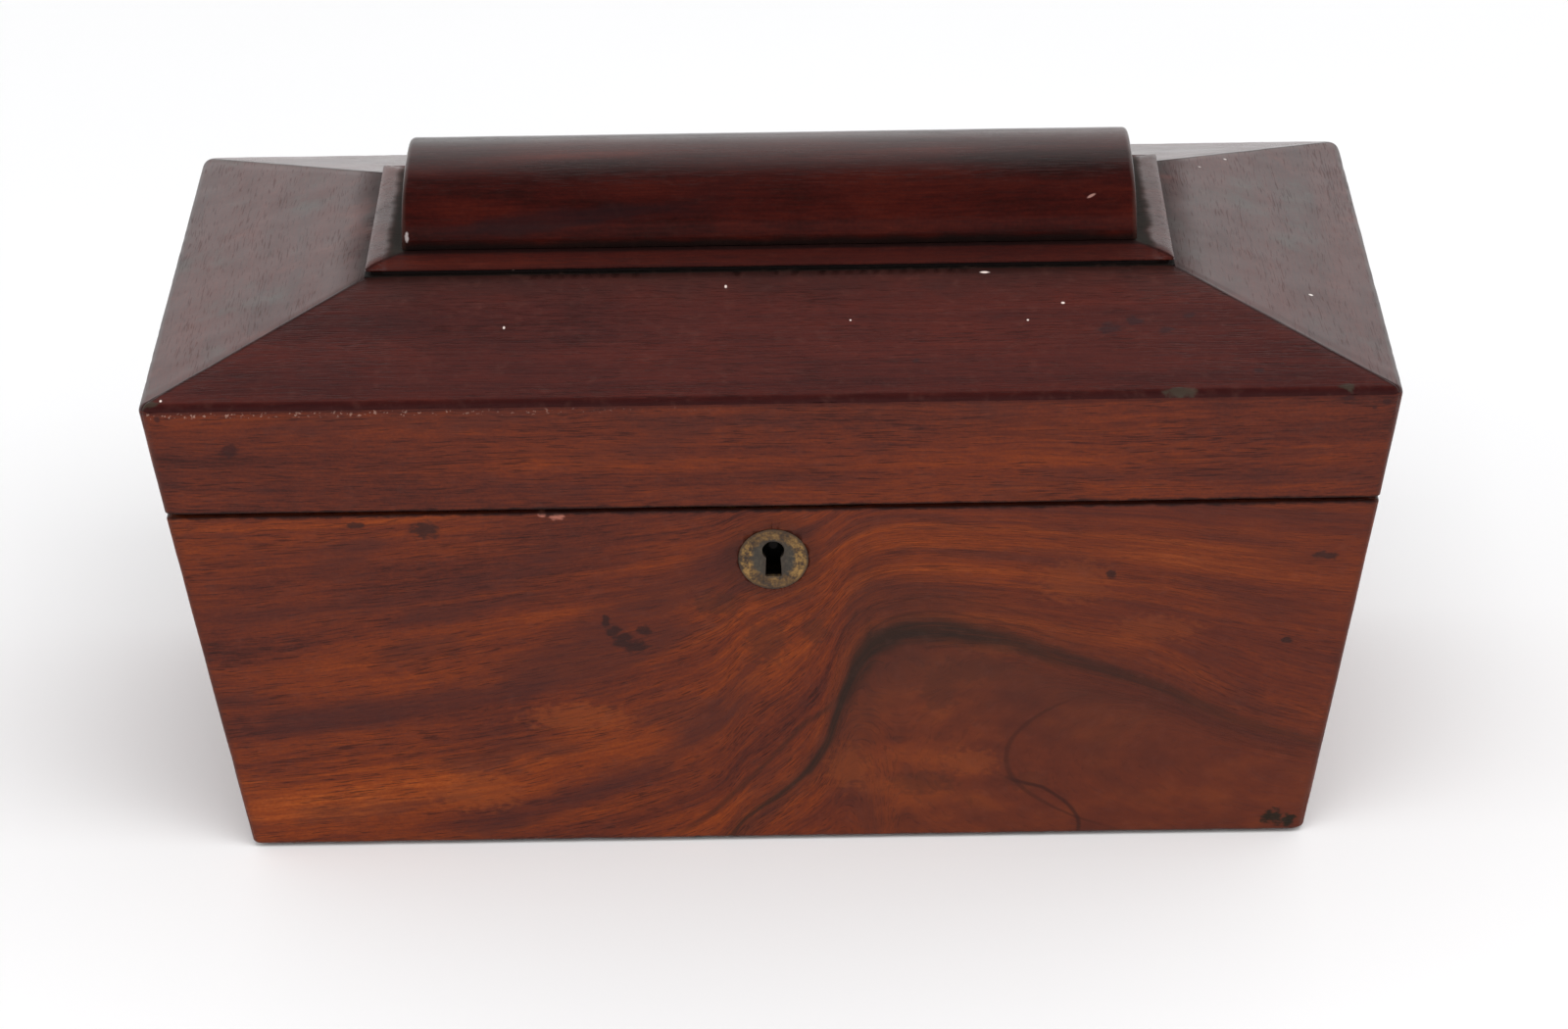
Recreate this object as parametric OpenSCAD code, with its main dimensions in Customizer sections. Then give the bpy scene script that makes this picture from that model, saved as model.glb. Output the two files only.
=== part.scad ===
// Sarcophagus tea caddy: a tapered mahogany box with a hipped lid, a moulded plinth and a
// rounded bolster on top. Two lift-out tea canisters flank a glass mixing bowl.
// Frame: +Z up, front towards -Y, origin at the centre of the footprint on the table.

/* [Overall size] */
// Width over the eave, the widest line of the lid
eave_w = 310; // [300:1:330]
// Depth over the eave
eave_d = 186; // [180:1:195]
// Height of the eave above the table
eave_z = 129.4; // [128:0.1:134]
// Lean of all four sides, in mm inwards per mm below the eave
side_taper = 0.162; // [0.14:0.002:0.17]
// Height of the top edge of the carcase
body_top = 98.2; // [98:0.1:100]
// Gap between the carcase and the closed lid
seam_gap = 0.6; // [0.5:0.1:0.8]

/* [Lid] */
// Level distance from the eave to the foot of the plinth
hip_inset = 53.2; // [50:0.2:56]
// Height of the hipped roof
roof_rise = 13.6; // [13:0.1:16]
// Height of the recess under the plinth
neck_h = 1.3; // [1:0.1:2]
// Thickness of the plinth at its moulded edge
plinth_h = 2.1; // [1.8:0.1:3]
// Width of the plinth left showing round the bolster
plinth_ledge = 9; // [7:0.5:10]
// Height of the bolster
bolster_h = 15.7; // [14:0.1:20]

/* [Boards] */
// Thickness of the carcase and lid boards, measured level
wall_t = 10; // [9.6:0.1:11]
// Thickness of the base board
base_t = 8; // [7:0.5:9]
// Thickness of the baize under the base
baize_t = 0.8; // [0.6:0.1:1.2]
// Thickness of the roof veneer, measured upright
veneer_t = 1.6; // [1.4:0.1:2]
// Thickness of the roof boards under the veneer, measured upright
roof_board_t = 6.6; // [6:0.2:7]
// Thickness of a partition
partition_t = 5; // [4:0.5:6]

/* [Inside] */
// Half the width of the bowl well
well_half = 52; // [51:0.5:54]
// Height of the top of the partitions and canister lids
deck_z = 88; // [86:0.5:89]
// Thickness of the canister walls
canister_t = 4.5; // [4:0.5:5]
// Thickness of the foil lining
foil_t = 0.6; // [0.5:0.1:0.8]
// Space between a canister and what it stands against
canister_gap = 0.6; // [0.5:0.1:0.8]
// Outer radius of the bowl at its rim
bowl_r = 47.5; // [46:0.5:48]

/* [Ironmongery] */
// Radius of the hinge barrel
barrel_r = 2.4; // [2.2:0.1:2.5]
// Radius of the hinge pin
hinge_pin_r = 0.95; // [0.9:0.05:1]
// Distance of each hinge from the middle
hinge_x = 95; // [80:1:105]
// Radius of the escutcheon
escutcheon_r = 8.75; // [8:0.25:9]
// Radius of the round part of the keyhole
keyhole_r = 2.85; // [2.6:0.05:3]

/* [Hidden] */

MAHOGANY = "#6e2c1c";
DARK_MAHOGANY = "#4a1a14";
PINE = "#b8905a";
BRASS = "#9a7a3c";
STEEL = "#7c7c7e";
FOIL = "#a9abad";
VELVET = "#23402f";
BONE = "#e6dcc4";
GLASS = "#cfe0e0";

far = 400; // longer than any part of the object
round_fn = 64;

half_w = eave_w / 2;
half_d = eave_d / 2;
lid_bottom = body_top + seam_gap;
floor_z = baize_t + base_t;
crown_w = eave_w - 2 * hip_inset;
crown_d = eave_d - 2 * hip_inset;
crown_z = eave_z + roof_rise;
plinth_z = crown_z + neck_h;
bolster_z = plinth_z + plinth_h;
roof_slope = roof_rise / hip_inset;
lean = atan(side_taper);

// Half width of the tapered outside at height z, for a side that is reach away at the eave.
function outside(reach, z) = reach - side_taper * (eave_z - z);

// Height of the roof surface at a level distance in from the eave.
function roof_at(inset) = eave_z + roof_slope * inset;

// The point of a side's section at a level depth below its outside and a drop below the roof.
function under_slope(reach, depth, drop) =
    let (inset = (depth + side_taper * drop) / (1 + side_taper * roof_slope))
    [reach - inset, roof_at(inset) - drop];

// ---- Ways to place a flat outline -------------------------------------------------------

// An outline of (distance from the middle, height), run along X on the front side.
module run_x(length = far) {
    rotate([90, 0, -90]) linear_extrude(height = length, center = true) children();
}

// An outline of (x, height), run along Y.
module run_y(length = far) {
    rotate([90, 0, 0]) linear_extrude(height = length, center = true) children();
}

// Side 0 is the front, 1 the right end, 2 the back and 3 the left end.
module on_side(side) {
    rotate([0, 0, 90 * side]) children();
}

function reach_of(side) = side % 2 == 0 ? half_d : half_w;
function other_of(side) = side % 2 == 0 ? half_w : half_d;

// The band of a leaning side between two depths below its outside face.
module side_band(reach, near, deep, z0, z1) {
    polygon([
        [outside(reach, z0) - deep, z0],
        [outside(reach, z0) - near, z0],
        [outside(reach, z1) - near, z1],
        [outside(reach, z1) - deep, z1]
    ]);
}

// The whole leaning section between two sides, inset by the same depth on both.
module full_section(reach, inset, z0, z1) {
    polygon([
        [-outside(reach, z0) + inset, z0],
        [outside(reach, z0) - inset, z0],
        [outside(reach, z1) - inset, z1],
        [-outside(reach, z1) + inset, z1]
    ]);
}

// Upright prism that trims a front-side piece along the 45 degree mitres at its ends.
module mitre(reach, other) {
    near = reach - 60;
    wide = other - reach;
    linear_extrude(height = far) polygon([
        [-half_w - wide - 40, -half_w - 40],
        [half_w + wide + 40, -half_w - 40],
        [near + wide, -near],
        [-near - wide, -near]
    ]);
}

// A mitred piece of any outline on one of the four sides.
module mitred(side) {
    on_side(side) intersection() {
        run_x() children();
        mitre(reach_of(side), other_of(side));
    }
}

// A block with four leaning faces.
module tapered_block(inset, z0, z1) {
    intersection() {
        run_x() full_section(half_d, inset, z0, z1);
        run_y() full_section(half_w, inset, z0, z1);
    }
}

// The plane of the front board's outside face: x right, y up the board, z outwards.
// The origin is on the top outer edge of the front board.
module on_front() {
    translate([0, -outside(half_d, body_top), body_top])
        rotate([90 + lean, 0, 0]) children();
}

// A box given by its lowest and highest corners.
module box(low, high) {
    translate(low) cube(high - low);
}

// ---- Screws -----------------------------------------------------------------------------

screw_head_r = 1.7;
screw_shank_r = 0.85;
screw_head_h = 1;

// A countersunk screw whose head is flush with z = 0 and whose shank points down. The cone goes
// on to the given height over the head, and the ease is the room around it.
module screw_body(length, ease = 0, over = 0) {
    flare = (screw_head_r - screw_shank_r) / screw_head_h;
    rotate_extrude($fn = round_fn) polygon([
        [0, -length - ease],
        [screw_shank_r + ease, -length - ease],
        [screw_shank_r + ease, -screw_head_h],
        [screw_head_r + ease + flare * over, over],
        [0, over]
    ]);
}

module screw(length) {
    slot_w = 0.4;
    slot_h = 0.5;
    difference() {
        screw_body(length);
        box([-far / 2, -slot_w / 2, -slot_h], [far / 2, slot_w / 2, 1]);
    }
}

// The space that a screw takes in the pieces that it holds.
module screw_hole(length) {
    screw_body(length, 0.03, 0.6);
}

// ---- Hinges -----------------------------------------------------------------------------

hinge_z = body_top + seam_gap / 2;
hinge_y = outside(half_d, hinge_z) + 1;
hinge_length = 30;
knuckles = 5;
knuckle_gap = 0.15;
knuckle_ease = 0.05;
barrel_clear = barrel_r + 0.25;
leaf_t = 1.4;
leaf_gap = 0.15; // from the middle of the seam to each leaf
leaf_depth = 11;
leaf_ease = 0.03;
hinge_screw_l = 7.5;
hinge_screw_y = hinge_y - 7;
hinge_screw_xs = [-9, 0, 9];

function body_leaf_z() = [hinge_z - leaf_gap - leaf_t, hinge_z - leaf_gap];
function lid_leaf_z() = [hinge_z + leaf_gap, hinge_z + leaf_gap + leaf_t];

module hinge_cylinder(r, x0, x1) {
    translate([x0, hinge_y, hinge_z]) rotate([0, 90, 0])
        cylinder(h = x1 - x0, r = r, $fn = round_fn);
}

// One leaf with the knuckles whose number has the given remainder, centred at x = 0.
module hinge_leaf(remainder, zs) {
    pitch = hinge_length / knuckles;
    difference() {
        union() {
            box([-hinge_length / 2, hinge_y - leaf_depth, zs[0]],
                [hinge_length / 2, hinge_y - barrel_clear, zs[1]]);
            for (i = [remainder : 2 : knuckles - 1]) {
                x0 = -hinge_length / 2 + i * pitch + knuckle_gap / 2;
                x1 = x0 + pitch - knuckle_gap;
                hinge_cylinder(barrel_r, x0, x1);
                box([x0, hinge_y - barrel_clear - 0.5, zs[0]], [x1, hinge_y - 1.5, zs[1]]);
            }
        }
        hinge_cylinder(hinge_pin_r + knuckle_ease, -far / 2, far / 2);
        for (x = hinge_screw_xs) {
            if (zs[0] < hinge_z)
                translate([x, hinge_screw_y, zs[1]]) screw_hole(hinge_screw_l);
            else
                translate([x, hinge_screw_y, zs[0]]) mirror([0, 0, 1]) screw_hole(hinge_screw_l);
        }
    }
}

// The recess that a leaf and the barrel take in the wood.
module hinge_recess(zs) {
    for (side = [-1, 1]) translate([side * hinge_x, 0, 0]) {
        box([-hinge_length / 2 - leaf_ease, hinge_y - leaf_depth - leaf_ease, zs[0]],
            [hinge_length / 2 + leaf_ease, hinge_y, zs[1]]);
        hinge_cylinder(barrel_clear, -hinge_length / 2 - 0.2, hinge_length / 2 + 0.2);
    }
}

module body_hinge_screws(hole = false) {
    for (side = [-1, 1], x = hinge_screw_xs)
        translate([side * hinge_x + x, hinge_screw_y, body_leaf_z()[1]])
            if (hole) screw_hole(hinge_screw_l); else screw(hinge_screw_l);
}

module lid_hinge_screws(hole = false) {
    for (side = [-1, 1], x = hinge_screw_xs)
        translate([side * hinge_x + x, hinge_screw_y, lid_leaf_z()[0]]) mirror([0, 0, 1])
            if (hole) screw_hole(hinge_screw_l); else screw(hinge_screw_l);
}

// ---- Lock, in the plane of the front board ----------------------------------------------

board_t = wall_t * cos(lean); // thickness of the front board square to its face
lock_plate_t = 1.2;
lock_plate_half = 24;
lock_plate_h = 25;
lock_cap_half = 19;
lock_cap_low = -23;
lock_cap_t = 0.8;
lock_cap_face = -3.2; // depth of the cap's outer face below the outside of the board
lock_back = -board_t + lock_plate_t; // depth of the plate's inner face
escutcheon_y = -14.6;
key_y = escutcheon_y + 2.1;
key_slot_w = 3.8;
key_slot_low = escutcheon_y - 5.4;
escutcheon_t = 1.6;
escutcheon_proud = 0.15;
key_pin_r = 1.1;
key_pin_foot_r = 1.5;
lock_screw_l = 5;
lock_screw_x = 21.7;
lock_screw_ys = [-5.5, -20];
selvage_y0 = -outside(half_d, body_top) + 2.7;
selvage_y1 = -outside(half_d, body_top) + wall_t;
selvage_half = lock_plate_half - 0.5;

bolt_top = -7.7;
bolt_low = -10;
bolt_deep = lock_back + 0.2;
bolt_face = bolt_deep + 2;
tongue_y = -5.1;
tongue_z = -6.25;

// The spring: a bowed strip that stands on a shelf of the plate and bears on the bolt.
spring_x = 11.6;
spring_t = 0.5;
spring_w = 2;
spring_bow_r = 24;
spring_half_angle = 14;
spring_crown_y = bolt_low - 0.15;
spring_foot_y = spring_crown_y - spring_bow_r
    + (spring_bow_r - spring_t) * cos(spring_half_angle);

// The two eyes of the link plate, and the bolt tongues that pass through them.
eye_x = 9;
eye_t = 1.6;
eye_y = selvage_y0 + 4.3;
eye_w = 3.4;
eye_low = body_top - 5.8;
eye_z = body_top - 3.7;
eye_hole = [2, 2.4];
tongue = 1.3;
tongue_l = 3.7;
tongue_rest_gap = 0.5;

module keyhole(grow = 0) {
    translate([0, key_y]) circle(r = keyhole_r + grow, $fn = round_fn);
    translate([-key_slot_w / 2 - grow, key_slot_low - grow])
        square([key_slot_w + 2 * grow, key_y - key_slot_low + grow]);
}

module lock_screws(hole = false) {
    on_front() for (side = [-1, 1], y = lock_screw_ys)
        translate([side * lock_screw_x, y, -board_t]) mirror([0, 0, 1])
            if (hole) screw_hole(lock_screw_l); else screw(lock_screw_l);
}

module lock_mortise() {
    ease = 0.04;
    on_front() {
        box([-lock_cap_half - ease, lock_cap_low - ease, -board_t - 3],
            [lock_cap_half + ease, 4, lock_cap_face + ease]);
        box([-lock_plate_half - ease, -lock_plate_h - ease, -board_t - 3],
            [lock_plate_half + ease, 4, lock_back + ease]);
        translate([0, 0, lock_cap_face - 1]) linear_extrude(height = 8) keyhole(0.3);
        translate([0, escutcheon_y, -escutcheon_t - ease])
            cylinder(h = 8, r = escutcheon_r + ease, $fn = round_fn);
    }
    box([-selvage_half - ease, selvage_y0 - ease, body_top - lock_plate_t - ease],
        [selvage_half + ease, selvage_y1 + 1, body_top + 1]);
}

module lock_plate() {
    slot_ease = 0.55;
    color(BRASS) difference() {
        union() {
            intersection() {
                on_front() box([-lock_plate_half, -lock_plate_h, -board_t],
                    [lock_plate_half, 4, lock_back]);
                box([-far, -far, 0], [far, far, body_top - lock_plate_t / 2]);
            }
            box([-selvage_half, selvage_y0, body_top - lock_plate_t],
                [selvage_half, selvage_y1 - lock_plate_t / 2, body_top]);
            on_front() box([spring_x - 6, spring_foot_y - 1.2, lock_back - 0.5],
                [spring_x + 6, spring_foot_y, bolt_deep + spring_w]);
        }
        for (side = [-1, 1])
            box([side * eye_x - eye_t / 2 - slot_ease, eye_y - eye_w / 2 - slot_ease, body_top - 4],
                [side * eye_x + eye_t / 2 + slot_ease, eye_y + eye_w / 2 + slot_ease, body_top + 1]);
        lock_screws(hole = true);
        on_front() translate([0, key_y, -board_t - 1])
            cylinder(h = lock_plate_t + 2, r = key_pin_foot_r, $fn = round_fn);
    }
}

module lock_cap() {
    inner = lock_cap_half - lock_cap_t;
    color(BRASS) difference() {
        intersection() {
            on_front() difference() {
                box([-lock_cap_half, lock_cap_low, lock_back], [lock_cap_half, 4, lock_cap_face]);
                box([-inner, lock_cap_low + lock_cap_t, lock_back - 1],
                    [inner, 5, lock_cap_face - lock_cap_t]);
                translate([0, 0, lock_cap_face - 2]) linear_extrude(height = 4) keyhole(0.15);
            }
            box([-far, -far, 0], [far, far, body_top - lock_plate_t]);
        }
    }
}

// The pin that a hollow key fits over, with its foot riveted in the plate.
module key_pin() {
    color(STEEL) on_front() translate([0, key_y, -board_t]) {
        cylinder(h = lock_plate_t, r = key_pin_foot_r, $fn = round_fn);
        cylinder(h = board_t + lock_cap_face - 0.2, r = key_pin_r, $fn = round_fn);
    }
}

module lock_bolt() {
    lug_w = 2;
    notch_w = 4;
    color(STEEL) on_front() difference() {
        union() {
            box([-16, bolt_low, bolt_deep], [14, bolt_top, bolt_face]);
            for (side = [-1, 1]) {
                tip = side * eye_x - eye_t / 2 - tongue_rest_gap;
                box([tip - tongue_l - lug_w, bolt_top - 0.5, bolt_deep],
                    [tip - tongue_l, tongue_y + tongue / 2, tongue_z + tongue / 2]);
                box([tip - tongue_l - 0.5, tongue_y - tongue / 2, tongue_z - tongue / 2],
                    [tip, tongue_y + tongue / 2, tongue_z + tongue / 2]);
            }
        }
        box([-notch_w, bolt_low - 1, bolt_deep - 1], [0, bolt_low + 1.2, bolt_face + 1]);
    }
}

module bolt_spring() {
    steps = 8;
    arc = [for (i = [-steps : steps]) i * spring_half_angle / steps];
    inner_r = spring_bow_r - spring_t;
    color(STEEL) on_front() translate([spring_x, spring_crown_y - spring_bow_r, bolt_deep])
        linear_extrude(height = spring_w) polygon(concat(
            [for (a = arc) spring_bow_r * [sin(a), cos(a)]],
            [for (a = arc) inner_r * [sin(-a), cos(-a)]]
        ));
}

module escutcheon() {
    dish_r = 5.9;
    dish_low_r = 4.3;
    dish_drop = 0.5;
    color(BRASS) on_front() translate([0, 0, -escutcheon_t]) difference() {
        translate([0, escutcheon_y, 0]) rotate_extrude($fn = round_fn) polygon([
            [0, 0],
            [escutcheon_r, 0],
            [escutcheon_r, escutcheon_t],
            [escutcheon_r - 0.3, escutcheon_t + escutcheon_proud],
            [dish_r, escutcheon_t + escutcheon_proud],
            [dish_low_r, escutcheon_t + escutcheon_proud - dish_drop],
            [0, escutcheon_t + escutcheon_proud - dish_drop]
        ]);
        translate([0, 0, -1]) linear_extrude(height = 5) keyhole();
    }
}

link_plate_half = 16;
link_screw_x = 13;
link_screw_l = 6;
link_plate_t = 1.2;

module link_screws(hole = false) {
    for (side = [-1, 1])
        translate([side * link_screw_x, eye_y, lid_bottom]) mirror([0, 0, 1])
            if (hole) screw_hole(link_screw_l); else screw(link_screw_l);
}

module link_plate_outline(ease = 0) {
    box([-link_plate_half - ease, selvage_y0 - ease, lid_bottom - 2 * ease],
        [link_plate_half + ease, selvage_y1 - 0.6 + ease, lid_bottom + link_plate_t + ease]);
}

module link_plate() {
    color(BRASS) difference() {
        union() {
            link_plate_outline();
            for (side = [-1, 1])
                box([side * eye_x - eye_t / 2, eye_y - eye_w / 2, eye_low],
                    [side * eye_x + eye_t / 2, eye_y + eye_w / 2, lid_bottom + 0.5]);
        }
        box([-far, eye_y - eye_hole[0] / 2, eye_z - eye_hole[1] / 2],
            [far, eye_y + eye_hole[0] / 2, eye_z + eye_hole[1] / 2]);
        link_screws(hole = true);
    }
}

// ---- Carcase ----------------------------------------------------------------------------

groove_depth = 2; // depth of the grooves that hold the partitions

module carcase_board(side) {
    mitred(side) side_band(reach_of(side), 0, wall_t, baize_t, body_top);
}

module partition_outline() {
    full_section(half_d, wall_t - groove_depth, floor_z, deck_z);
}

module partition(side) {
    color(MAHOGANY) translate([side * (well_half + partition_t / 2), 0, 0])
        run_x(partition_t) partition_outline();
}

module front_board() {
    color(MAHOGANY) difference() {
        carcase_board(0);
        for (side = [-1, 1]) partition(side);
        lock_mortise();
        lock_screws(hole = true);
    }
}

module back_board() {
    color(MAHOGANY) difference() {
        carcase_board(2);
        for (side = [-1, 1]) partition(side);
        hinge_recess([body_leaf_z()[0], lid_leaf_z()[1]]);
        body_hinge_screws(hole = true);
    }
}

module bowl_collar_board() {
    board_h = 5;
    hole_r = bowl_r + 0.8;
    color(MAHOGANY) difference() {
        run_x(2 * well_half) full_section(half_d, wall_t, deck_z - board_h, deck_z);
        translate([0, 0, deck_z - board_h - 1]) cylinder(h = board_h + 2, r = hole_r, $fn = 128);
    }
}

bowl_pad_t = 2;

module bowl_pad() {
    color(VELVET) translate([0, 0, floor_z]) cylinder(h = bowl_pad_t, r = 40, $fn = round_fn);
}

// ---- Lid --------------------------------------------------------------------------------

module lid_rim_outline(reach) {
    polygon([
        [outside(reach, lid_bottom) - wall_t, lid_bottom],
        [outside(reach, lid_bottom), lid_bottom],
        under_slope(reach, 0, veneer_t),
        under_slope(reach, wall_t, veneer_t)
    ]);
}

module lid_rim(side) {
    color(MAHOGANY) mitred(side) lid_rim_outline(reach_of(side));
}

module roof_veneer(side) {
    reach = reach_of(side);
    color(DARK_MAHOGANY) mitred(side) polygon([
        under_slope(reach, 0, veneer_t),
        [reach, eave_z],
        [reach - hip_inset, crown_z],
        [reach - hip_inset, crown_z - veneer_t]
    ]);
}

module roof_board(side) {
    reach = reach_of(side);
    color(PINE) mitred(side) polygon([
        under_slope(reach, wall_t, veneer_t),
        [reach - hip_inset, crown_z - veneer_t],
        [reach - hip_inset, crown_z - veneer_t - roof_board_t],
        under_slope(reach, wall_t, veneer_t + roof_board_t)
    ]);
}

module lid_front_rim() {
    difference() {
        lid_rim(0);
        link_plate_outline(0.04);
        link_screws(hole = true);
    }
}

module lid_back_rim() {
    difference() {
        lid_rim(2);
        hinge_recess([body_leaf_z()[0], lid_leaf_z()[1]]);
        lid_hinge_screws(hole = true);
    }
}

module crown_board() {
    color(PINE) box([-crown_w / 2, -crown_d / 2, crown_z - veneer_t - roof_board_t],
        [crown_w / 2, crown_d / 2, crown_z]);
}

// Section of the plinth: a recessed neck, a thumbnail edge and a flat top for the bolster.
module plinth_section(half) {
    neck_in = 1.3;
    edge_h = 0.4;
    curl = plinth_ledge - 2.5;
    function edge(side) = [for (i = [0 : 8]) let (a = i * 90 / 8)
        [side * (half - curl + curl * cos(a)), plinth_z + edge_h + (plinth_h - edge_h) * sin(a)]];
    left = edge(-1);
    polygon(concat(
        [[-half + neck_in, crown_z], [half - neck_in, crown_z], [half - neck_in, plinth_z],
            [half, plinth_z]],
        edge(1),
        [for (i = [8 : -1 : 0]) left[i]],
        [[-half, plinth_z], [-half + neck_in, plinth_z]]
    ));
}

module plinth() {
    color(DARK_MAHOGANY) intersection() {
        run_x(crown_w + 10) plinth_section(crown_d / 2);
        run_y(crown_d + 10) plinth_section(crown_w / 2);
    }
}

// Section of the bolster: nearly elliptical, with its foot tucked in a little.
module bolster_section(half) {
    tuck = 0.7;
    tuck_h = 2.2;
    squareness = 2.15;
    steps = 36;
    top = [for (i = [0 : steps]) let (a = i * 180 / steps, c = cos(a), s = sin(a))
        [half * sign(c) * pow(abs(c), 2 / squareness),
            bolster_z + tuck_h + (bolster_h - tuck_h) * pow(s, 2 / squareness)]];
    polygon(concat([[-half + tuck, bolster_z], [half - tuck, bolster_z]], top));
}

module bolster() {
    color(DARK_MAHOGANY) run_x(crown_w - 2 * plinth_ledge)
        bolster_section(crown_d / 2 - plinth_ledge);
}

panel_t = 4;
panel_z0 = eave_z - 4.5;
panel_z1 = panel_z0 + panel_t;
pad_t = 2.5;
pad_margin = 6;

// Level distance from the eave to the underside of the roof boards at height z.
function under_roof(z) = (z + veneer_t + roof_board_t - eave_z) / roof_slope;

module panel_section(reach) {
    polygon([
        [-reach + under_roof(panel_z0), panel_z0],
        [reach - under_roof(panel_z0), panel_z0],
        [reach - under_roof(panel_z1), panel_z1],
        [-reach + under_roof(panel_z1), panel_z1]
    ]);
}

module lid_panel() {
    color(PINE) intersection() {
        run_x() panel_section(half_d);
        run_y() panel_section(half_w);
    }
}

module lid_pad() {
    x = half_w - under_roof(panel_z0) - pad_margin;
    y = half_d - under_roof(panel_z0) - pad_margin;
    color(VELVET) box([-x, -y, panel_z0 - pad_t], [x, y, panel_z0]);
}

// ---- Canisters, drawn on the right ------------------------------------------------------

canister_x0 = well_half + partition_t + canister_gap;
canister_inset = wall_t + canister_gap;
canister_lid_t = 4.5;
canister_top = deck_z - canister_lid_t;
canister_floor_t = 4;
plug_h = 4;
plug_ease = 0.5;

// The outline seen from the front: upright by the partition and leaning at the end.
module canister_front_view(inset, z0, z1) {
    polygon([
        [canister_x0 + inset, z0],
        [outside(half_w, z0) - canister_inset - inset, z0],
        [outside(half_w, z1) - canister_inset - inset, z1],
        [canister_x0 + inset, z1]
    ]);
}

module canister_block(inset, z0, z1) {
    intersection() {
        run_x() full_section(half_d, canister_inset + inset, z0, z1);
        run_y() canister_front_view(inset, z0, z1);
    }
}

// The front board, or the back board when mirrored.
module canister_long_board() {
    color(MAHOGANY) intersection() {
        run_x() side_band(half_d, canister_inset, canister_inset + canister_t, floor_z, canister_top);
        run_y() canister_front_view(0, floor_z, canister_top);
    }
}

module between_long_boards() {
    run_x() full_section(half_d, canister_inset + canister_t, floor_z, canister_top);
}

module canister_outer() {
    color(MAHOGANY) intersection() {
        run_y() side_band(half_w, canister_inset, canister_inset + canister_t, floor_z, canister_top);
        between_long_boards();
    }
}

module canister_inner() {
    color(MAHOGANY) intersection() {
        box([canister_x0, -far, floor_z], [canister_x0 + canister_t, far, canister_top]);
        between_long_boards();
    }
}

module canister_bottom() {
    color(MAHOGANY) canister_block(canister_t, floor_z, floor_z + canister_floor_t);
}

module canister_foil() {
    foil_z = floor_z + canister_floor_t;
    color(FOIL) difference() {
        canister_block(canister_t, foil_z, canister_top);
        canister_block(canister_t + foil_t, foil_z + foil_t, canister_top + 1);
    }
}

knob_x = (canister_x0 + outside(half_w, deck_z) - canister_inset) / 2;
knob_h = 8;
knob_tenon_r = 2;
knob_tenon_h = 3;

module canister_lid() {
    plug_inset = canister_t + foil_t + plug_ease;
    color(MAHOGANY) difference() {
        union() {
            canister_block(0, canister_top, deck_z);
            canister_block(plug_inset, canister_top - plug_h, canister_top + 0.5);
        }
        translate([knob_x, 0, deck_z - knob_tenon_h])
            cylinder(h = knob_tenon_h + 1, r = knob_tenon_r, $fn = round_fn);
    }
}

// A turned knob: a collar, a slim neck and a button.
module knob() {
    foot_r = 3.6;
    neck_r = 2;
    button_r = 5;
    button_z = 5.2;
    button_h = knob_h - button_z + 1.4;
    color(BONE) translate([knob_x, 0, deck_z]) rotate_extrude($fn = round_fn) polygon(concat(
        [[0, -knob_tenon_h], [knob_tenon_r, -knob_tenon_h], [knob_tenon_r, 0], [foot_r, 0],
            [foot_r, 0.8], [neck_r + 0.4, 1.4], [neck_r, 2.4], [neck_r + 0.6, 3.4]],
        [for (i = [-3 : 9]) let (a = i * 10)
            [button_r * cos(a), button_z + (button_h - 1.4) * sin(a)]]
    ));
}

module on_left() {
    mirror([1, 0, 0]) children();
}

// ---- Bowl -------------------------------------------------------------------------------

module mixing_bowl() {
    foot_z = floor_z + bowl_pad_t;
    rim_z = 91;
    foot_r = 31;
    glass_t = 4;
    base_glass = 9;
    lip = 1.6;
    inner_foot_r = foot_r - 5;
    color(GLASS) rotate_extrude($fn = 128) polygon([
        [0, foot_z],
        [foot_r - 1, foot_z],
        [foot_r, foot_z + 1],
        [bowl_r, rim_z - 2],
        [bowl_r, rim_z - 0.6],
        [bowl_r - 0.6, rim_z],
        [bowl_r - glass_t + lip, rim_z],
        [bowl_r - glass_t, rim_z - lip],
        [inner_foot_r + 2, foot_z + base_glass + 3],
        [inner_foot_r - 3, foot_z + base_glass],
        [0, foot_z + base_glass]
    ]);
}

// ---- Nodes ------------------------------------------------------------------------------

color(VELVET) tapered_block(4, 0, baize_t);  // base_baize
color(PINE) tapered_block(wall_t, baize_t, floor_z);  // base_board
front_board();
back_board();
color(MAHOGANY) carcase_board(3);  // left_end_board
color(MAHOGANY) carcase_board(1);  // right_end_board
partition(-1);  // left_partition
partition(1);  // right_partition
bowl_collar_board();
bowl_pad();
escutcheon();
lock_plate();
lock_cap();
key_pin();
bolt_spring();
lock_bolt();
color(BRASS) translate([-hinge_x, 0, 0]) hinge_leaf(0, body_leaf_z());  // left_hinge_body_leaf
color(BRASS) translate([hinge_x, 0, 0]) hinge_leaf(0, body_leaf_z());  // right_hinge_body_leaf
color(STEEL) for (side = [-1, 1]) translate([side * hinge_x, 0, 0])  // hinge_pins
        hinge_cylinder(hinge_pin_r, -hinge_length / 2, hinge_length / 2);
color(BRASS) {  // carcase_screws
    body_hinge_screws();
    lock_screws();
}
lid_front_rim();
lid_back_rim();
lid_rim(3);  // lid_left_rim
lid_rim(1);  // lid_right_rim
roof_board(0);  // roof_board_front
roof_board(2);  // roof_board_back
roof_board(3);  // roof_board_left
roof_board(1);  // roof_board_right
roof_veneer(0);  // roof_veneer_front
roof_veneer(2);  // roof_veneer_back
roof_veneer(3);  // roof_veneer_left
roof_veneer(1);  // roof_veneer_right
crown_board();
plinth();
bolster();
lid_panel();
lid_pad();
link_plate();
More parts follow.
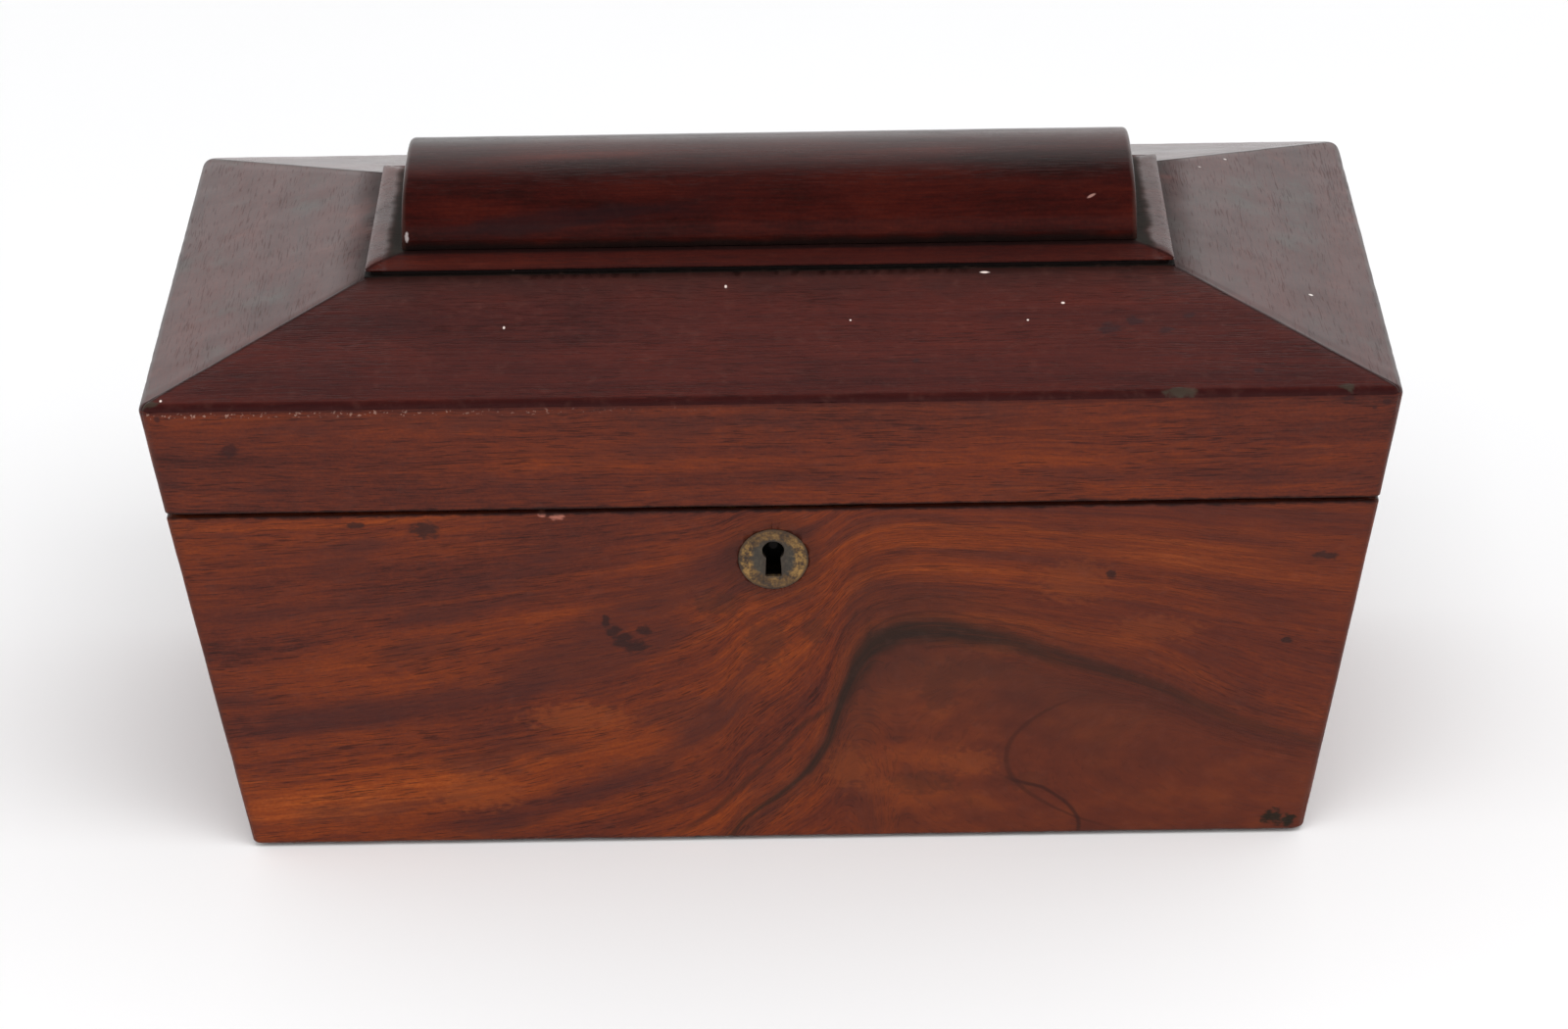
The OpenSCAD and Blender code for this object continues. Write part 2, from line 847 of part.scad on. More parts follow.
color(BRASS) translate([-hinge_x, 0, 0]) hinge_leaf(1, lid_leaf_z());  // left_hinge_lid_leaf
color(BRASS) translate([hinge_x, 0, 0]) hinge_leaf(1, lid_leaf_z());  // right_hinge_lid_leaf
color(BRASS) {  // lid_screws
    lid_hinge_screws();
    link_screws();
}
on_left() canister_long_board();  // left_canister_front
on_left() mirror([0, 1, 0]) canister_long_board();  // left_canister_back
on_left() canister_outer();  // left_canister_outer
on_left() canister_inner();  // left_canister_inner
on_left() canister_bottom();  // left_canister_bottom
on_left() canister_foil();  // left_canister_foil
on_left() canister_lid();  // left_canister_lid
on_left() knob();  // left_knob
canister_long_board();  // right_canister_front
mirror([0, 1, 0]) canister_long_board();  // right_canister_back
canister_outer();  // right_canister_outer
canister_inner();  // right_canister_inner
canister_bottom();  // right_canister_bottom
canister_foil();  // right_canister_foil
canister_lid();  // right_canister_lid
knob();  // right_knob
mixing_bowl();
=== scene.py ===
"""Looks for a sarcophagus tea caddy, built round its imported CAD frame.

Lengths are in millimetres until they reach a mesh, and the frame is the CAD's: +Z up, the front
towards -Y. Every outside board is cut from a worn, softly rounded skin, so its joints, recesses
and mortises are the CAD's own. Materials are solid textures in object space.
"""

import math

import bmesh
import bpy
import numpy as np
from mathutils import Matrix, Vector, noise


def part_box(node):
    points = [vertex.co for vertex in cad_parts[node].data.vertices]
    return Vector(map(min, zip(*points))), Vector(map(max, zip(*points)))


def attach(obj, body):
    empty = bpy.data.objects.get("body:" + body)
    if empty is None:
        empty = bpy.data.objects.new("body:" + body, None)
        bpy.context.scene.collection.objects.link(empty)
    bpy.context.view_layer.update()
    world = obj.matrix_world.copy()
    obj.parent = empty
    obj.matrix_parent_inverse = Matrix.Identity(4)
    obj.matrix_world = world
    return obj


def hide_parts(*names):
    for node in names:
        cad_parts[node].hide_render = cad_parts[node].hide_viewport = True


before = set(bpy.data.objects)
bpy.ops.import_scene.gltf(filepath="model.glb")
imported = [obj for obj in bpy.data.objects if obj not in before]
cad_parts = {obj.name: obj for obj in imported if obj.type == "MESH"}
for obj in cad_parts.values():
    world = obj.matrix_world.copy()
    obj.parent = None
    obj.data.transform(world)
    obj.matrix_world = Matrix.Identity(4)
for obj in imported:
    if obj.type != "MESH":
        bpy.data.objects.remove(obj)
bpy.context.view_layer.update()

MM = 0.001


# ---- Sizes from the frame ------------------------------------------------------------------


def low(node):
    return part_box(node)[0] / MM


def high(node):
    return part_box(node)[1] / MM


def outermost_z(node):
    """Height of the point of a node that is furthest to the front."""
    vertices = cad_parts[node].data.vertices
    return min(vertices, key=lambda v: v.co.y).co.z / MM


HALF_W = high("roof_veneer_right").x
HALF_D = high("roof_veneer_back").y
EAVE_Z = outermost_z("roof_veneer_front")
CROWN_Z = high("crown_board").z
HIP_INSET = HALF_W - high("crown_board").x
BODY_LOW = low("front_board").z
BODY_TOP = high("front_board").z
LID_LOW = low("lid_front_rim").z
TAPER = (HALF_D + low("front_board").y) / (EAVE_Z - BODY_TOP)
LEAN = math.atan(TAPER)
ROOF_SLOPE = (CROWN_Z - EAVE_Z) / HIP_INSET
NECK = 1.3  # height of the recess under the plinth
PLINTH_Z = CROWN_Z + NECK
PLINTH_TOP = high("plinth").z
SEAM_Z = (BODY_TOP + LID_LOW) / 2
KEY_DROP = 14.6  # from the board's top edge down its face to the escutcheon's middle
KEY_Z = BODY_TOP - KEY_DROP * math.cos(LEAN)


def outside(z):
    """How far the leaning sides at height z stand in from the eave, as a negative number."""
    return -TAPER * (EAVE_Z - z)


# ---- Mesh helpers --------------------------------------------------------------------------


def wobble(point, size, seed=0.0):
    """Smooth noise, about -1 to 1, with features of the given size."""
    return noise.noise(Vector(point) / size + Vector((seed, 3.7 * seed, -seed)))


def rounded(corners, steps=6, spacing=5.0):
    """A line through (inset, z, radius) corners: an arc at each, and points along the straights."""
    line = []

    def straight_to(point):
        if line:
            start = np.array(line[-1])
            count = max(1, round(np.linalg.norm(point - start) / spacing))
            line.extend(tuple(start + (point - start) * i / count) for i in range(1, count))
        line.append(tuple(point))

    for i, (inset, z, radius) in enumerate(corners):
        here = np.array((inset, z))
        if radius == 0:
            straight_to(here)
            continue
        before = np.array(corners[i - 1][:2]) - here
        after = np.array(corners[i + 1][:2]) - here
        before /= np.linalg.norm(before)
        after /= np.linalg.norm(after)
        half = math.acos(np.clip(before @ after, -1, 1)) / 2
        middle = before + after
        centre = here + middle / np.linalg.norm(middle) * radius / math.sin(half)
        first = here + before * radius / math.tan(half)
        last = here + after * radius / math.tan(half)
        straight_to(first)
        a0 = math.atan2(*(first - centre)[::-1])
        turn = (math.atan2(*(last - centre)[::-1]) - a0 + math.pi) % (2 * math.pi) - math.pi
        for j in range(1, steps + 1):
            angle = a0 + turn * j / steps
            line.append(tuple(centre + radius * np.array((math.cos(angle), math.sin(angle)))))
    return line


def ring(hx, hy, radii, counts):
    """Points round a rectangle, anticlockwise from the front left corner.

    radii are those of the front right, back right, back left and front left corners, and counts
    the points along a front, an end and a corner.
    """
    along_x, along_y, round_corner = counts
    signs = [(1, -1), (1, 1), (-1, 1), (-1, -1)]
    points = []
    for i, (sx, sy) in enumerate(signs):
        px, py = signs[i - 1]
        r0, r1 = radii[i - 1], radii[i]
        count = along_x if i % 2 == 0 else along_y
        if i % 2 == 0:
            start, end = (px * (hx - r0), sy * hy), (sx * (hx - r1), sy * hy)
        else:
            start, end = (sx * hx, py * (hy - r0)), (sx * hx, sy * (hy - r1))
        for j in range(count):
            t = j / count
            points.append([a + (b - a) * t for a, b in zip(start, end)])
        centre = (sx * (hx - r1), sy * (hy - r1))
        for j in range(round_corner):
            angle = math.radians(-90 + 90 * i + 90 * j / round_corner)
            points.append([centre[0] + r1 * math.cos(angle), centre[1] + r1 * math.sin(angle)])
    return np.array(points)


def raised(flat, heights):
    """Flat points with one height, or a height for each."""
    return np.column_stack([flat, np.broadcast_to(heights, len(flat))])


def facing_out(bm, mesh):
    """Fills a mesh from a bmesh, with its faces turned outwards."""
    bmesh.ops.recalc_face_normals(bm, faces=bm.faces)
    bm.to_mesh(mesh)
    bm.free()
    return mesh


def loft(name, rings):
    """A closed mesh through rings of equally many points, capped at both ends."""
    count = len(rings[0])
    vertices = np.concatenate(rings) * MM
    faces = [list(range(count))[::-1]]
    for i in range(len(rings) - 1):
        for j in range(count):
            k = (j + 1) % count
            faces.append([i * count + j, i * count + k, (i + 1) * count + k, (i + 1) * count + j])
    faces.append([(len(rings) - 1) * count + j for j in range(count)])
    mesh = bpy.data.meshes.new(name)
    mesh.from_pydata([tuple(v) for v in vertices], [], faces)
    bm = bmesh.new()
    bm.from_mesh(mesh)
    return facing_out(bm, mesh)


def lathe(name, outline, segments=96, reach=None):
    """A closed mesh turned about Z from an outline of (radius, z) that starts and ends at the axis.

    reach, where given, is how far out a point of the outline stands at an angle.
    """
    bm = bmesh.new()
    rows = []
    for r, z in outline:
        if r < 1e-6:
            rows.append([bm.verts.new((0, 0, z * MM))])
            continue
        row = []
        for j in range(segments):
            a = 2 * math.pi * j / segments
            here = (r if reach is None else reach(r, z, a)) * MM
            row.append(bm.verts.new((here * math.cos(a), here * math.sin(a), z * MM)))
        rows.append(row)
    for a, b in zip(rows, rows[1:]):
        for j in range(segments):
            k = (j + 1) % segments
            corners = [a[j % len(a)], a[k % len(a)], b[k % len(b)], b[j % len(b)]]
            unique = list(dict.fromkeys(corners))
            if len(unique) > 2:
                bm.faces.new(unique)
    return facing_out(bm, bpy.data.meshes.new(name))


def smooth(mesh, angle=32):
    mesh.shade_smooth()
    mesh.set_sharp_from_angle(angle=math.radians(angle))


def add(name, mesh):
    thing = bpy.data.objects.new(name, mesh)
    bpy.context.scene.collection.objects.link(thing)
    return thing


def piece(name, mesh, body, slot, material, *nodes, angle=32):
    """Puts a finished mesh in place of CAD nodes, on their body."""
    smooth(mesh, angle)
    mesh.materials.clear()
    mesh.materials.append(material)
    made = add(name, mesh)
    made.modifiers.new("normals", "WEIGHTED_NORMAL").keep_sharp = True
    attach(made, body)
    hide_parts(*nodes)
    return made


def welded_copy(node):
    """A closed copy of a CAD node's mesh, without its colours and split corners."""
    bm = bmesh.new()
    bm.from_mesh(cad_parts[node].data)
    bmesh.ops.remove_doubles(bm, verts=bm.verts, dist=0.0005 * MM)
    bmesh.ops.dissolve_limit(bm, angle_limit=0.0005, verts=bm.verts, edges=bm.edges)
    mesh = bpy.data.meshes.new(node + "_copy")
    bm.to_mesh(mesh)
    bm.free()
    return mesh


def keep_largest(bm):
    """Deletes the specks that a cut can leave beside the solid."""
    left, largest = set(bm.faces), set()
    while left:
        island, waiting = set(), [left.pop()]
        while waiting:
            face = waiting.pop()
            island.add(face)
            for edge in face.edges:
                if len(edge.link_faces) == 2:
                    for other in edge.link_faces:
                        if other in left:
                            left.remove(other)
                            waiting.append(other)
        if len(island) > len(largest):
            largest = island
    bmesh.ops.delete(bm, geom=[f for f in bm.faces if f not in largest], context="FACES")


def cut_from(skin, node):
    """The part of a skin that lies in a CAD node, as a mesh."""
    blank = add("blank", skin.copy())
    solid = add("solid", welded_copy(node))
    cutter = blank.modifiers.new("cut", "BOOLEAN")
    cutter.operation = "INTERSECT"
    cutter.solver = "EXACT"
    cutter.object = solid
    shown = blank.evaluated_get(bpy.context.evaluated_depsgraph_get())
    mesh = bpy.data.meshes.new_from_object(shown)
    for thing in (blank, solid):
        data = thing.data
        bpy.data.objects.remove(thing)
        bpy.data.meshes.remove(data)
    bm = bmesh.new()
    bm.from_mesh(mesh)
    bmesh.ops.remove_doubles(bm, verts=bm.verts, dist=0.002 * MM)
    bmesh.ops.dissolve_degenerate(bm, edges=bm.edges, dist=0.004 * MM)
    bmesh.ops.triangulate(bm, faces=[f for f in bm.faces if len(f.verts) > 4])
    keep_largest(bm)
    bmesh.ops.delete(bm, geom=[v for v in bm.verts if not v.link_faces], context="VERTS")
    bm.to_mesh(mesh)
    bm.free()
    mesh.name = node
    return mesh


# ---- Shader helpers ------------------------------------------------------------------------


def linear(value):
    """A linear colour for (red, green, blue) levels from 0 to 255. Any other value is kept."""
    if not isinstance(value, tuple) or len(value) != 3:
        return value
    shares = [level / 255 for level in value]
    return (*(c / 12.92 if c <= 0.04045 else ((c + 0.055) / 1.055) ** 2.4 for c in shares), 1.0)


class Wire:
    """A shader value that can be added, scaled and compared like a number."""

    def __init__(self, shader, socket):
        self.shader, self.socket = shader, socket

    def __add__(self, other):
        return self.shader.math("ADD", self, other)

    def __sub__(self, other):
        return self.shader.math("SUBTRACT", self, other)

    def __rsub__(self, other):
        return self.shader.math("SUBTRACT", other, self)

    def __mul__(self, other):
        return self.shader.math("MULTIPLY", self, other)

    def __truediv__(self, other):
        return self.shader.math("DIVIDE", self, other)

    def __abs__(self):
        return self.shader.math("ABSOLUTE", self)

    __radd__, __rmul__ = __add__, __mul__


class Shader:
    """A material under construction."""

    def __init__(self, name):
        self.material = bpy.data.materials.new(name)
        self.material.use_nodes = True
        self.tree = self.material.node_tree
        self.tree.nodes.clear()
        self.output = self.tree.nodes.new("ShaderNodeOutputMaterial")

    def node(self, kind, inputs=(), **settings):
        made = self.tree.nodes.new("ShaderNode" + kind)
        for name, value in settings.items():
            setattr(made, name, value)
        for name, value in dict(inputs).items():
            socket = made.inputs[name]
            if isinstance(value, Wire):
                self.tree.links.new(value.socket, socket)
            else:
                socket.default_value = linear(value)
        return made

    def wire(self, node, output=0):
        return Wire(self, node.outputs[output])

    def math(self, operation, a, b=0.0, clamp=False):
        made = self.node("Math", {0: a, 1: b}, operation=operation, use_clamp=clamp)
        return self.wire(made)

    def place(self):
        """Object coordinates in millimetres."""
        at = self.node("TexCoord").outputs["Object"]
        parts = self.node("SeparateXYZ", {0: Wire(self, at)})
        return [self.wire(parts, i) * (1 / MM) for i in range(3)]

    def vector(self, x, y, z):
        return self.wire(self.node("CombineXYZ", {0: x, 1: y, 2: z}))

    def noise(self, x, y, z, detail=2.0, roughness=0.5, distortion=0.0):
        """Noise from about -0.5 to 0.5 over coordinates that are already scaled."""
        made = self.node("TexNoise", {
            "Vector": self.vector(x, y, z), "Scale": 1.0, "Detail": detail,
            "Roughness": roughness, "Distortion": distortion})
        return self.wire(made) - 0.5

    def lumps(self, place, size, detail=3.0, roughness=0.5, distortion=0.0):
        """Noise whose features are about size millimetres across every way."""
        return self.noise(*(at / size for at in place), detail, roughness, distortion)

    def length(self, a, b):
        return self.math("SQRT", a * a + b * b)

    def cells(self, x, y, z):
        """Distance to the nearest of scattered points."""
        return self.wire(self.node("TexVoronoi", {"Vector": self.vector(x, y, z), "Scale": 1.0}))

    def step(self, value, start, end, low=0.0, high=1.0):
        """Goes smoothly from low at start to high at end."""
        rising = start < end
        made = self.node("MapRange", {
            "Value": value, "From Min": min(start, end), "From Max": max(start, end),
            "To Min": low if rising else high, "To Max": high if rising else low},
            interpolation_type="SMOOTHSTEP")
        return self.wire(made)

    def curve(self, value, points):
        """A smooth curve through (value, result) points."""
        xs, ys = [p[0] for p in points], [p[1] for p in points]
        x0, x1, y0, y1 = min(xs), max(xs), min(ys), max(ys)
        made = self.node("FloatCurve", {"Value": (value - x0) / (x1 - x0)})
        spots = made.mapping.curves[0].points
        while len(spots) < len(points):
            spots.new(0.5, 0.5)
        for spot, (x, y) in zip(spots, sorted(points)):
            spot.location = ((x - x0) / (x1 - x0), (y - y0) / (y1 - y0))
        made.mapping.update()
        return self.wire(made) * (y1 - y0) + y0

    def blob(self, u, v, at, size, ragged=0.0):
        """1 at a spot and 0 outside its ellipse, with an edge that noise has moved."""
        du, dv = (u - at[0]) / size[0], (v - at[1]) / size[1]
        far = self.length(du, dv)
        if ragged:
            far = far + self.noise(u * 0.45, v * 0.7, at[0], 3) * ragged
        return self.step(far, 1.0, 0.45)

    def spots(self, u, v, places, ragged=1.6):
        """Blobs at (u, v, half width, half height) places, together."""
        total = None
        for x, y, wide, tall in places:
            one = self.blob(u, v, (x, y), (wide, tall), ragged)
            total = one if total is None else self.math("MAXIMUM", total, one)
        return total

    def marked(self, shade, u, v, *marks):
        """A colour with (places, strength, colour) marks painted over it in turn."""
        for places, strength, tint in marks:
            shade = self.mix(self.spots(u, v, places) * strength, shade, tint)
        return shade

    def ramp(self, value, stops):
        """Colours for a value from 0 to 1."""
        made = self.node("ValToRGB", {"Fac": value})
        elements = made.color_ramp.elements
        while len(elements) < len(stops):
            elements.new(0.5)
        for element, (at, shade) in zip(elements, stops):
            element.position, element.color = at, linear(shade)
        return self.wire(made)

    def mix(self, amount, a, b, blend="MIX"):
        made = self.node("Mix", data_type="RGBA", blend_type=blend)
        for socket, value in zip((made.inputs[0], made.inputs[6], made.inputs[7]), (amount, a, b)):
            if isinstance(value, Wire):
                self.tree.links.new(value.socket, socket)
            else:
                socket.default_value = linear(value)
        return Wire(self, made.outputs[2])

    def bump(self, height, depth, under=None):
        """Relief of the given depth in millimetres over a height that runs from 0 to 1."""
        inputs = {"Height": height, "Distance": depth * MM, "Strength": 1.0}
        if under is not None:
            inputs["Normal"] = under
        return self.wire(self.node("Bump", inputs))

    def finish(self, **sockets):
        names = {"base": "Base Color", "rough": "Roughness", "normal": "Normal",
                 "metal": "Metallic", "ior": "IOR", "level": "Specular IOR Level",
                 "tint": "Specular Tint", "through": "Transmission Weight",
                 "sheen": "Sheen Weight", "sheen_rough": "Sheen Roughness",
                 "sheen_tint": "Sheen Tint", "coat": "Coat Weight", "coat_rough": "Coat Roughness"}
        inputs = {names[key]: value for key, value in sockets.items()}
        made = self.node("BsdfPrincipled", inputs)
        self.tree.links.new(made.outputs[0], self.output.inputs[0])
        return self.material


# ---- Wood ----------------------------------------------------------------------------------

MAHOGANY = [(0.0, (44, 22, 18)), (0.22, (72, 32, 24)), (0.42, (90, 39, 24)),
            (0.6, (104, 45, 22)), (0.8, (121, 54, 22)), (1.0, (142, 68, 27))]
DARK = [(0.0, (18, 6, 6)), (0.3, (36, 11, 9)), (0.5, (48, 14, 11)),
        (0.75, (60, 19, 13)), (1.0, (76, 27, 17))]
ROOF = [(0.0, (32, 14, 14)), (0.3, (56, 23, 21)), (0.5, (67, 27, 23)),
        (0.7, (76, 30, 24)), (1.0, (92, 39, 28))]
# Near-black painted shade for the recess under the plinth and along the plinth's foot on the roof.
PLINTH_SHADE = (22, 17, 15)


def grain(shader, u, v, w, band=(300, 26), streak=(150, 5.5), fine=(60, 1.0), seed=0.0,
          weights=(1.5, 1.1, 0.55)):
    """How light the wood is, about 0 to 1, for grain that runs along u. All sizes are (u, v)."""
    total = 0.5
    parts = zip((band, streak, fine), weights, (1.0, 3.0, 3.0))
    for i, ((long, wide), weight, detail) in enumerate(parts):
        layer = shader.noise(u / long, v / wide, w / wide + seed + 5.3 * i, detail, 0.55)
        total = layer * weight + total
    return total


def pores(shader, u, v, w, seed=0.0, long=6.5, wide=0.36):
    """1 in the short dark pores of the grain."""
    layer = shader.noise(u / long, v / wide, w / wide + seed, 1.0)
    patches = shader.noise(u / 40, v / 9, w / 9 + seed + 2, 1.0)
    return shader.step(layer + patches * 0.3, 0.08, 0.2)


def wood_material(name, axes, stops=MAHOGANY, level=0.12, rough=0.36, bend=None, extra=None,
                  seed=0.0, shift=0.0, relief=0.05, contrast=1.0, pore=0.6, patch=0.45,
                  fleck=0.42, mottle=0.10, veil=0.0, hair=0.0, dull=None, **sizes):
    """Polished wood. axes puts (along, across, through) the grain in x, y and z order.

    veil is how strong the diffuse purplish patches are, and hair the hair-thin dark lines.
    dull(shader, x, y, z) may return where dirt has taken the polish off.
    bend(shader, x, y, z) may return another coordinate across the grain. extra(shader, shade,
    x, y, z, line) paints what only this piece has on the colour.
    """
    s = Shader(name)
    xyz = s.place()
    u, v, w = (xyz["xyz".index(axis)] for axis in axes)
    waver = s.noise(u / 95, v / 30, w / 30 + seed, 2.0) * 6 + s.noise(u / 22, v / 7, w / 9, 2.0)
    line = (bend(s, *xyz) if bend else v) + waver
    tone = grain(s, u, line, w, seed=seed, **sizes)
    tone = (tone - 0.5) * contrast + (0.5 + shift)
    tone = tone + s.noise(u / 38, v / 26, w / 38 + seed, 4.0, 0.6) * patch
    tone = tone + s.noise(u / 5.5, line / 0.7, w / 0.7 + seed, 2.0) * fleck
    tone = tone + s.noise(u / 0.9, line / 0.7, w / 0.9, 2.0) * fleck * 0.7
    dark_pores = pores(s, u, line, w, seed)
    shade = s.ramp(tone, stops)
    if veil:
        cloudy = s.noise(u / 34, line / 10, w / 10 + seed + 11, 4.0, 0.6)
        shade = s.mix(s.step(cloudy, 0.0, 0.16) * veil, shade, (64, 33, 29))
    if hair:
        crossing = abs(s.noise(u / 70, line / 2.4, w / 2.4 + seed + 7, 3.0))
        there = s.step(s.noise(u / 26, line / 8, w / 8 + seed + 3, 2.0), -0.06, 0.14)
        shade = s.mix(s.step(crossing, 0.055, 0.01) * there * hair, shade, (54, 24, 21))
    shade = s.mix(dark_pores * pore, shade, (40, 18, 16))
    if extra:
        shade = extra(s, shade, *xyz, line)
    mottled = s.lumps(xyz, 3.2)
    shade = s.mix(s.step(mottled, 0.0, 0.35, 0.0, mottle), shade, (140, 96, 84))
    dents = s.lumps(xyz, 7, 2.0)
    height = s.noise(u / 30, line / 0.8, w / 0.8, 2.0) - dark_pores * 0.8 + dents * 0.6
    gloss = s.lumps(xyz, 12) * 0.16 + rough
    gloss = gloss + dark_pores * 0.12
    if dull:
        gloss = gloss + dull(s, *xyz) * 0.5
    return s.finish(base=shade, rough=gloss, level=level, normal=s.bump(height, relief))


# The dark streak that rises over the front board from its foot and bends over the right half.
ARCH = [(-155, -27), (-100, -21.5), (-60, -15), (-35, -9.5), (-17, -2.5), (-7, 8), (5, 18),
        (11.5, 27), (15, 36), (18, 45), (22, 53.5), (28, 60), (36, 62.5), (51, 60.5), (75, 52.5),
        (95, 45.5), (113, 36), (136, 28), (155, 24)]
HEART = (150, 24)
HEART_SIZE = (92, 30.7)


def heart_distance(s, x, z):
    """Distance from the heart of the figure on the right, which is 1 on its fine U-shaped line."""
    dx, dz = (x - HEART[0]) / HEART_SIZE[0], (z - HEART[1]) / HEART_SIZE[1]
    return s.length(dx, dz)


def front_bend(s, x, y, z):
    """The grain of the front board: it follows the arch, and nests in ellipses under it."""
    arch = s.curve(x, ARCH)
    rise = arch + 27
    over = z - rise * s.step(z, 125, 52, 0.22, 1.0)
    under = heart_distance(s, x, z) * 27 - 68
    inside = s.step(arch - z, -2, 14) * s.step(x, 2, 34)
    return over + (under - over) * inside


def near_line(s, x, z, points, width):
    """1 on a line z(x) and 0 beyond its half width, which may be a wire."""
    at = s.curve(x, points)
    before = s.curve(x - 0.5, points)
    after = s.curve(x + 0.5, points)
    slope = after - before
    away = abs(z - at) / s.math("SQRT", slope * slope + 1)
    return s.step(away / width, 1.0, 0.15)


def arch_gap(s, x, z):
    """How far a point lies under the arch."""
    return s.curve(x, ARCH) - z


def front_ground(s, shade, x, z, line, gap):
    """The broad parts of the front's figure, under its lines."""
    # Soft brown mottled wood under the arch.
    calm = s.step(gap, 1, 14) * s.step(x, 8, 34)
    soft = s.ramp(s.noise(x / 17, z / 9, 6.2, 4.0, 0.6) * 1.9 + 0.5,
                  [(0.1, (70, 34, 26)), (0.5, (92, 43, 27)),
                   (0.9, (118, 57, 28))])
    shade = s.mix(calm * 0.72, shade, soft)
    # Broad darker bands in the figure on the left, and clouds beside and under the bend.
    wide_rag = s.noise(x / 15, line / 6, 4.4, 4.0, 0.6)
    for points, half, much in (
            ([(-140, 35), (-100, 41), (-65, 47.5), (-45, 53), (-30, 60), (-18, 68)], 4.5, 0.55),
            ([(-75, 47), (-58, 54), (-42, 64), (-25, 74), (-8, 82), (6, 86)], 7.5, 0.6),
            ([(-150, 69), (-120, 70), (-90, 74), (-70, 79), (-45, 90)], 4.0, 0.4),
            ([(-90, 4), (-60, 11), (-38, 20), (-18, 34), (-6, 46), (2, 58)], 5.0, 0.5)):
        ends = (s.step(x, points[0][0], points[0][0] + 18)
                * s.step(x, points[-1][0], points[-1][0] - 12))
        band = near_line(s, x, z + wide_rag * half * 2.2, points, half * 1.3)
        shade = s.mix(band * ends * much, shade, (62, 31, 28))
    clouds = [(52, 50.5, 15, 4.6), (41, 45, 6, 9), (37, 17, 11, 4.6), (63, 17, 8, 3.4),
              (-2, 60, 7, 9), (-14, 71, 8, 5), (10, 63, 5, 5)]
    lights = [(49, 23, 9, 5), (18, 22, 7, 8), (75, 76, 12, 8), (-76, 16, 14, 7), (56, 57, 9, 3),
              (-50, 38, 16, 5), (95, 62, 14, 5)]
    shade = s.marked(shade, x, z, (clouds, 0.42, (58, 32, 25)), (lights, 0.35, (134, 66, 30)))
    return s.mix(s.step(x, 30, 85) * 0.42, shade, (77, 34, 25))


def front_lines(s, shade, x, z, line, gap, ragged):
    """The dark lines of the front's figure, and its crack."""
    zr = z + ragged * 1.5
    xr = x + s.noise(z / 7, x / 7, 3.1, 2.0) * 1.2
    # The arch: a thin line at its foot, thick and nearly black at the bend, fading to the right.
    width = s.curve(x, [(-30, 1.0), (0, 1.2), (11, 1.6), (18, 3.2), (26, 6.2), (40, 6.0),
                        (60, 4.4), (90, 3.0), (140, 2.0)])
    strength = s.curve(x, [(-30, 0.35), (-14, 0.7), (2, 0.85), (20, 1.0), (40, 1.0), (60, 0.8),
                           (95, 0.55), (150, 0.28)])
    broken = s.step(s.noise(x / 14, line / 1.6, 0.5, 3.0), -0.25, 0.05, 0.55, 1.0)
    arch = near_line(s, xr, zr, ARCH, width) * strength * broken
    halo = near_line(s, xr, zr, ARCH, width * 4.0) * strength
    shade = s.mix(halo * 0.45, shade, (64, 35, 27))
    # Thin lines nested over its bend.
    nested = s.math("MAXIMUM", s.step(abs(gap + ragged * 2 + 5.4), 0.8, 0.15),
                    s.step(abs(gap + ragged * 3 + 9.6), 0.7, 0.1) * 0.7)
    nested = nested * s.step(x, 16, 26) * s.step(x, 92, 55)
    shade = s.mix(nested * 0.5, shade, (56, 28, 22))
    # A second line at the arch's left foot, which runs into it.
    left = [(-40, -11), (-25, 2), (-15.7, 9.8), (-6.6, 19.2), (-0.4, 26.3), (7.7, 35.6),
            (13.7, 40.2), (19, 49)]
    second = near_line(s, xr, zr, left, 1.3) * s.step(x, 21, 12) * s.step(z, 0, 10, 0.4, 1.0)
    shade = s.mix(second * 0.62 * broken, shade, (50, 28, 22))
    shade = s.mix(arch * 0.92, shade, (38, 27, 22))
    # The shadowy brown wood just under the bend, and the fine lines round the heart.
    heart = heart_distance(s, xr, zr)
    glow = s.step(gap, 3, 9) * s.step(gap, 34, 12) * s.step(x, 10, 36) * s.step(x, 120, 70)
    shade = s.mix(glow * 0.35, shade, (70, 38, 30))
    rings = s.noise(heart * 9.0, x / 60, 1.7, 2.0)
    ring_mask = s.step(heart, 1.7, 1.35) * s.step(gap, 0, 8)
    shade = s.mix(s.step(rings, 0.02, 0.2) * ring_mask * 0.2, shade, (66, 34, 26))
    fine = s.step(abs(heart - 1.0), 0.012, 0.003) * s.step(x, 92, 74) * s.step(z, 44, 38)
    shade = s.mix(fine * 0.5, shade, (52, 27, 21))
    crack = [(1, 76.4), (6.7, 75.8), (13, 69.7), (18, 58.7), (22, 50)]
    crack_line = near_line(s, z + ragged * 2, x, crack, 0.9) * s.step(z, 20, 16)
    return s.mix(crack_line * 0.7, shade, (44, 24, 20))


